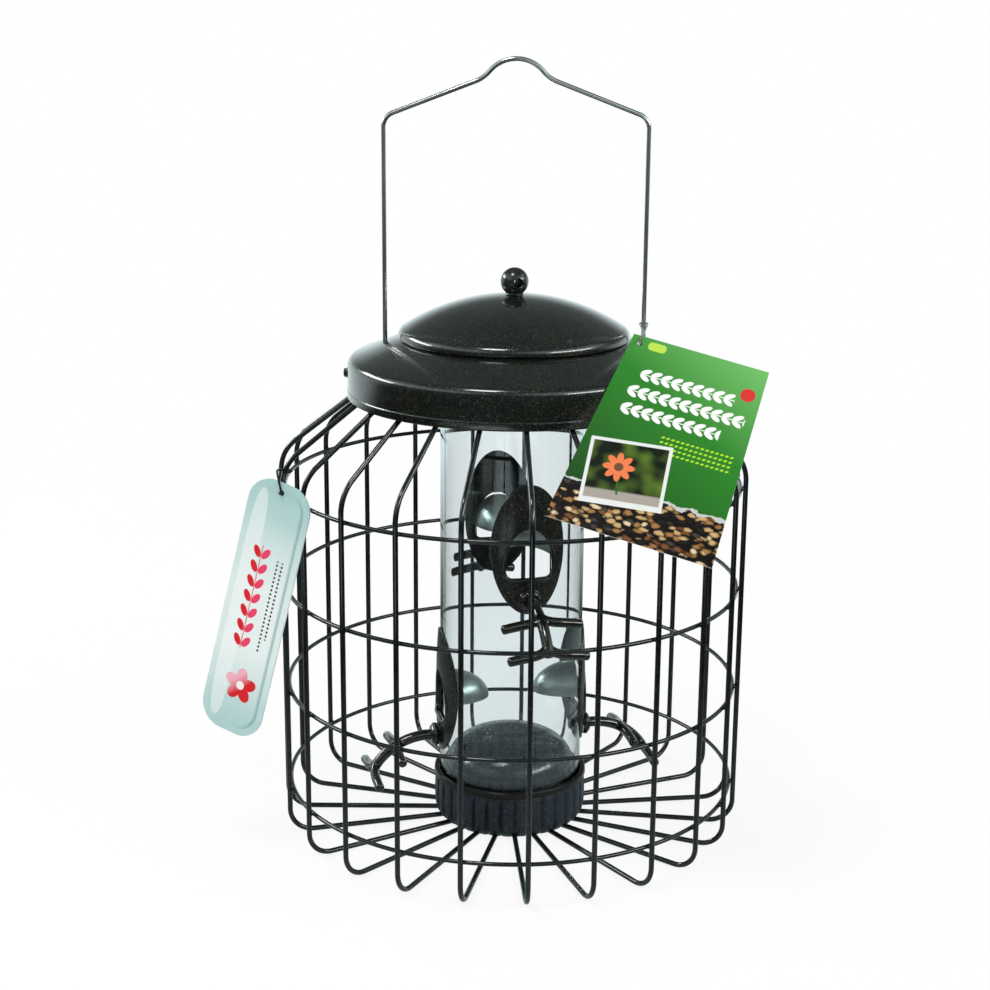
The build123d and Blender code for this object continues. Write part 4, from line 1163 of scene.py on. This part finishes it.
stage = {
    "floorSize": 8.0, "floorDrop": 0.00005, "clear": 0.86, "clearFrom": 0.35, "clearTo": 0.9, "ambient": 0.55,
    "front": 0.03, "near": 0.42, "nearFrom": 0.17, "nearTo": 0.42, "back": 1.0, "backFrom": 0.30, "backTo": 0.75,
    "far": 0.2, "farFrom": 2.3, "farTo": 3.0, "skyFrom": -0.15, "skyTo": 0.45, "tint": (0.85, 0.985, 0.99),
    "ceiling": 0.16, "bandLow": 0.06, "bandHigh": 0.34, "band": 1.25, "bandMiddle": 0.22,
    "boards": [
        {"place": (-0.61, -0.785), "size": (0.36, 0.5), "turn": -39.5, "level": 0.6},
        {"place": (-0.20, -0.74), "size": (0.36, 0.46), "turn": -16.0, "level": 1.5},
    ],
    "lamps": [
        {"name": "left", "place": (-1.30, 0.50, 0.80), "size": (1.0, 0.25), "power": 10.0},
        {"name": "right", "place": (1.15, -0.65, 0.80), "size": (1.2, 0.22), "power": 10.0},
        {"name": "top", "place": (-0.35, -0.55, 1.6), "size": (0.40, 0.30), "power": 8.0},
    ],
    "aim": (0, 0, 0.18),
}
view = {
    "lens": 67.305, "sensor": 36.0, "near": 0.01, "far": 50.0, "place": (0.0007, -0.9413, 0.4312),
    "right": (0.99990, 0.01244, 0.00720), "up": (-0.01018, 0.25874, 0.96589), "ahead": (-0.01016, 0.96587, -0.25884),
}


def rayKinds(tree):
    # 1 where the camera looks, also through clear plastic, and 1 where it looks by a reflection
    kinds = addNode(tree, "ShaderNodeLightPath").outputs
    glossy = times(calc("GREATER_THAN", kinds["Glossy Depth"], 0.5), minus(1.0, kinds["Is Diffuse Ray"]))
    seen = most(kinds["Is Camera Ray"], kinds["Is Transmission Ray"])
    return times(seen, minus(1.0, glossy)), glossy


def makeFloor():
    bm = bmesh.new()
    bmesh.ops.create_grid(bm, x_segments=1, y_segments=1, size=stage["floorSize"] / 2 / mm,
                          matrix=shift(0, 0, -stage["floorDrop"] / mm))
    finish = bpy.data.materials.new("floorPale")
    finish.use_nodes = True
    tree = finish.node_tree
    tree.nodes.clear()
    seen, glossy = rayKinds(tree)
    matt = addNode(tree, "ShaderNodeBsdfDiffuse", {"Color": (0.9, 0.9, 0.9, 1)})
    white = addNode(tree, "ShaderNodeEmission", {"Color": (1, 1, 1, 1), "Strength": 1.0})
    place = addNode(tree, "ShaderNodeTexCoord").outputs["Object"]
    x, y = addNode(tree, "ShaderNodeSeparateXYZ", {0: place}).outputs[:2]
    # far from the object the floor is plain white, and near it keeps the shadow
    away = addNode(tree, "ShaderNodeVectorMath", {0: place}, operation="LENGTH").outputs["Value"]
    share = remap(away, stage["clearFrom"], stage["clearTo"], stage["clear"], 1.0)
    mixed = addNode(tree, "ShaderNodeMixShader", {0: times(seen, share), 1: matt.outputs[0], 2: white.outputs[0]})
    # in reflections it is darker in front, with pale boards on it
    slabs = [times(boxMask(x, y, board["place"], board["size"], board["turn"], 0.05, 0.05), board["level"])
             for board in stage["boards"]]
    level = most(remap(y, stage["backFrom"], stage["backTo"], stage["front"], stage["back"]),
                 remap(away, stage["farFrom"], stage["farTo"], 0.0, stage["far"]),
                 remap(away, stage["nearFrom"], stage["nearTo"], stage["near"], 0.0), *slabs)
    mirror = addNode(tree, "ShaderNodeEmission", {"Color": opaque(stage["tint"]), "Strength": level})
    mixed = addNode(tree, "ShaderNodeMixShader", {0: glossy, 1: mixed.outputs[0], 2: mirror.outputs[0]})
    addNode(tree, "ShaderNodeOutputMaterial", {"Surface": mixed.outputs[0]})
    finishMesh(bm, "floor", finish, recalc=False)


def makeWorld():
    world = bpy.data.worlds.new("studio")
    bpy.context.scene.world = world
    world.use_nodes = True
    tree = world.node_tree
    tree.nodes.clear()
    seen, glossy = rayKinds(tree)
    ambient, front = stage["ambient"], stage["front"]
    way = addNode(tree, "ShaderNodeTexCoord").outputs["Generated"]
    x, y, z = addNode(tree, "ShaderNodeSeparateXYZ", {0: way}).outputs
    # reflections: a pale band along the horizon, dimmer in front and overhead
    band = most(remap(y, stage["skyFrom"], stage["skyTo"], 0.0, stage["back"]),
                remap(z, 0.03, 0.09, stage["far"], front))
    mirror = times(remap(z, stage["bandLow"], stage["bandHigh"]), minus(stage["ceiling"], band), band)
    # a brighter band at half height on both sides, which draws the rims and the perches
    rise = remap(calc("ABSOLUTE", minus(z, 0.50)), 0.30, 0.06)
    side = remap(calc("ABSOLUTE", calc("ADD", x, 0.12)), 0.12, 0.45, stage["bandMiddle"], 1.0)
    side = times(side, remap(y, 0.45, 0.1))
    mirror = times(times(rise, side), stage["band"], mirror)
    level = times(glossy, minus(mirror, ambient), ambient)
    level = times(seen, minus(1.0, level), level)
    tint = layer((1, 1, 1), stage["tint"], glossy)
    back = addNode(tree, "ShaderNodeBackground", {"Color": tint, "Strength": level})
    addNode(tree, "ShaderNodeOutputWorld", {"Surface": back.outputs[0]})


def makeLamps():
    for lamp in stage["lamps"]:
        data = bpy.data.lights.new(lamp["name"], "AREA")
        data.shape = "RECTANGLE"
        data.size, data.size_y = lamp["size"]
        data.energy = lamp["power"]
        piece = addObject(lamp["name"], data)
        piece.location = lamp["place"]
        piece.visible_camera = False
        aim = Vector(stage["aim"]) - Vector(lamp["place"])
        piece.rotation_euler = aim.to_track_quat("-Z", "Y").to_euler()


def makeCamera():
    data = bpy.data.cameras.new("view")
    data.lens = view["lens"]
    data.sensor_width = view["sensor"]
    data.clip_start, data.clip_end = view["near"], view["far"]
    camera = addObject("view", data)
    axes = Matrix((view["right"], view["up"], -Vector(view["ahead"])))
    camera.matrix_world = shift(*view["place"]) @ axes.transposed().to_4x4()
    bpy.context.scene.camera = camera


makeFloor()
makeWorld()
makeLamps()
makeCamera()
bpy.context.scene.view_settings.view_transform = "Standard"

bpy.context.view_layer.update()
print("stage set")
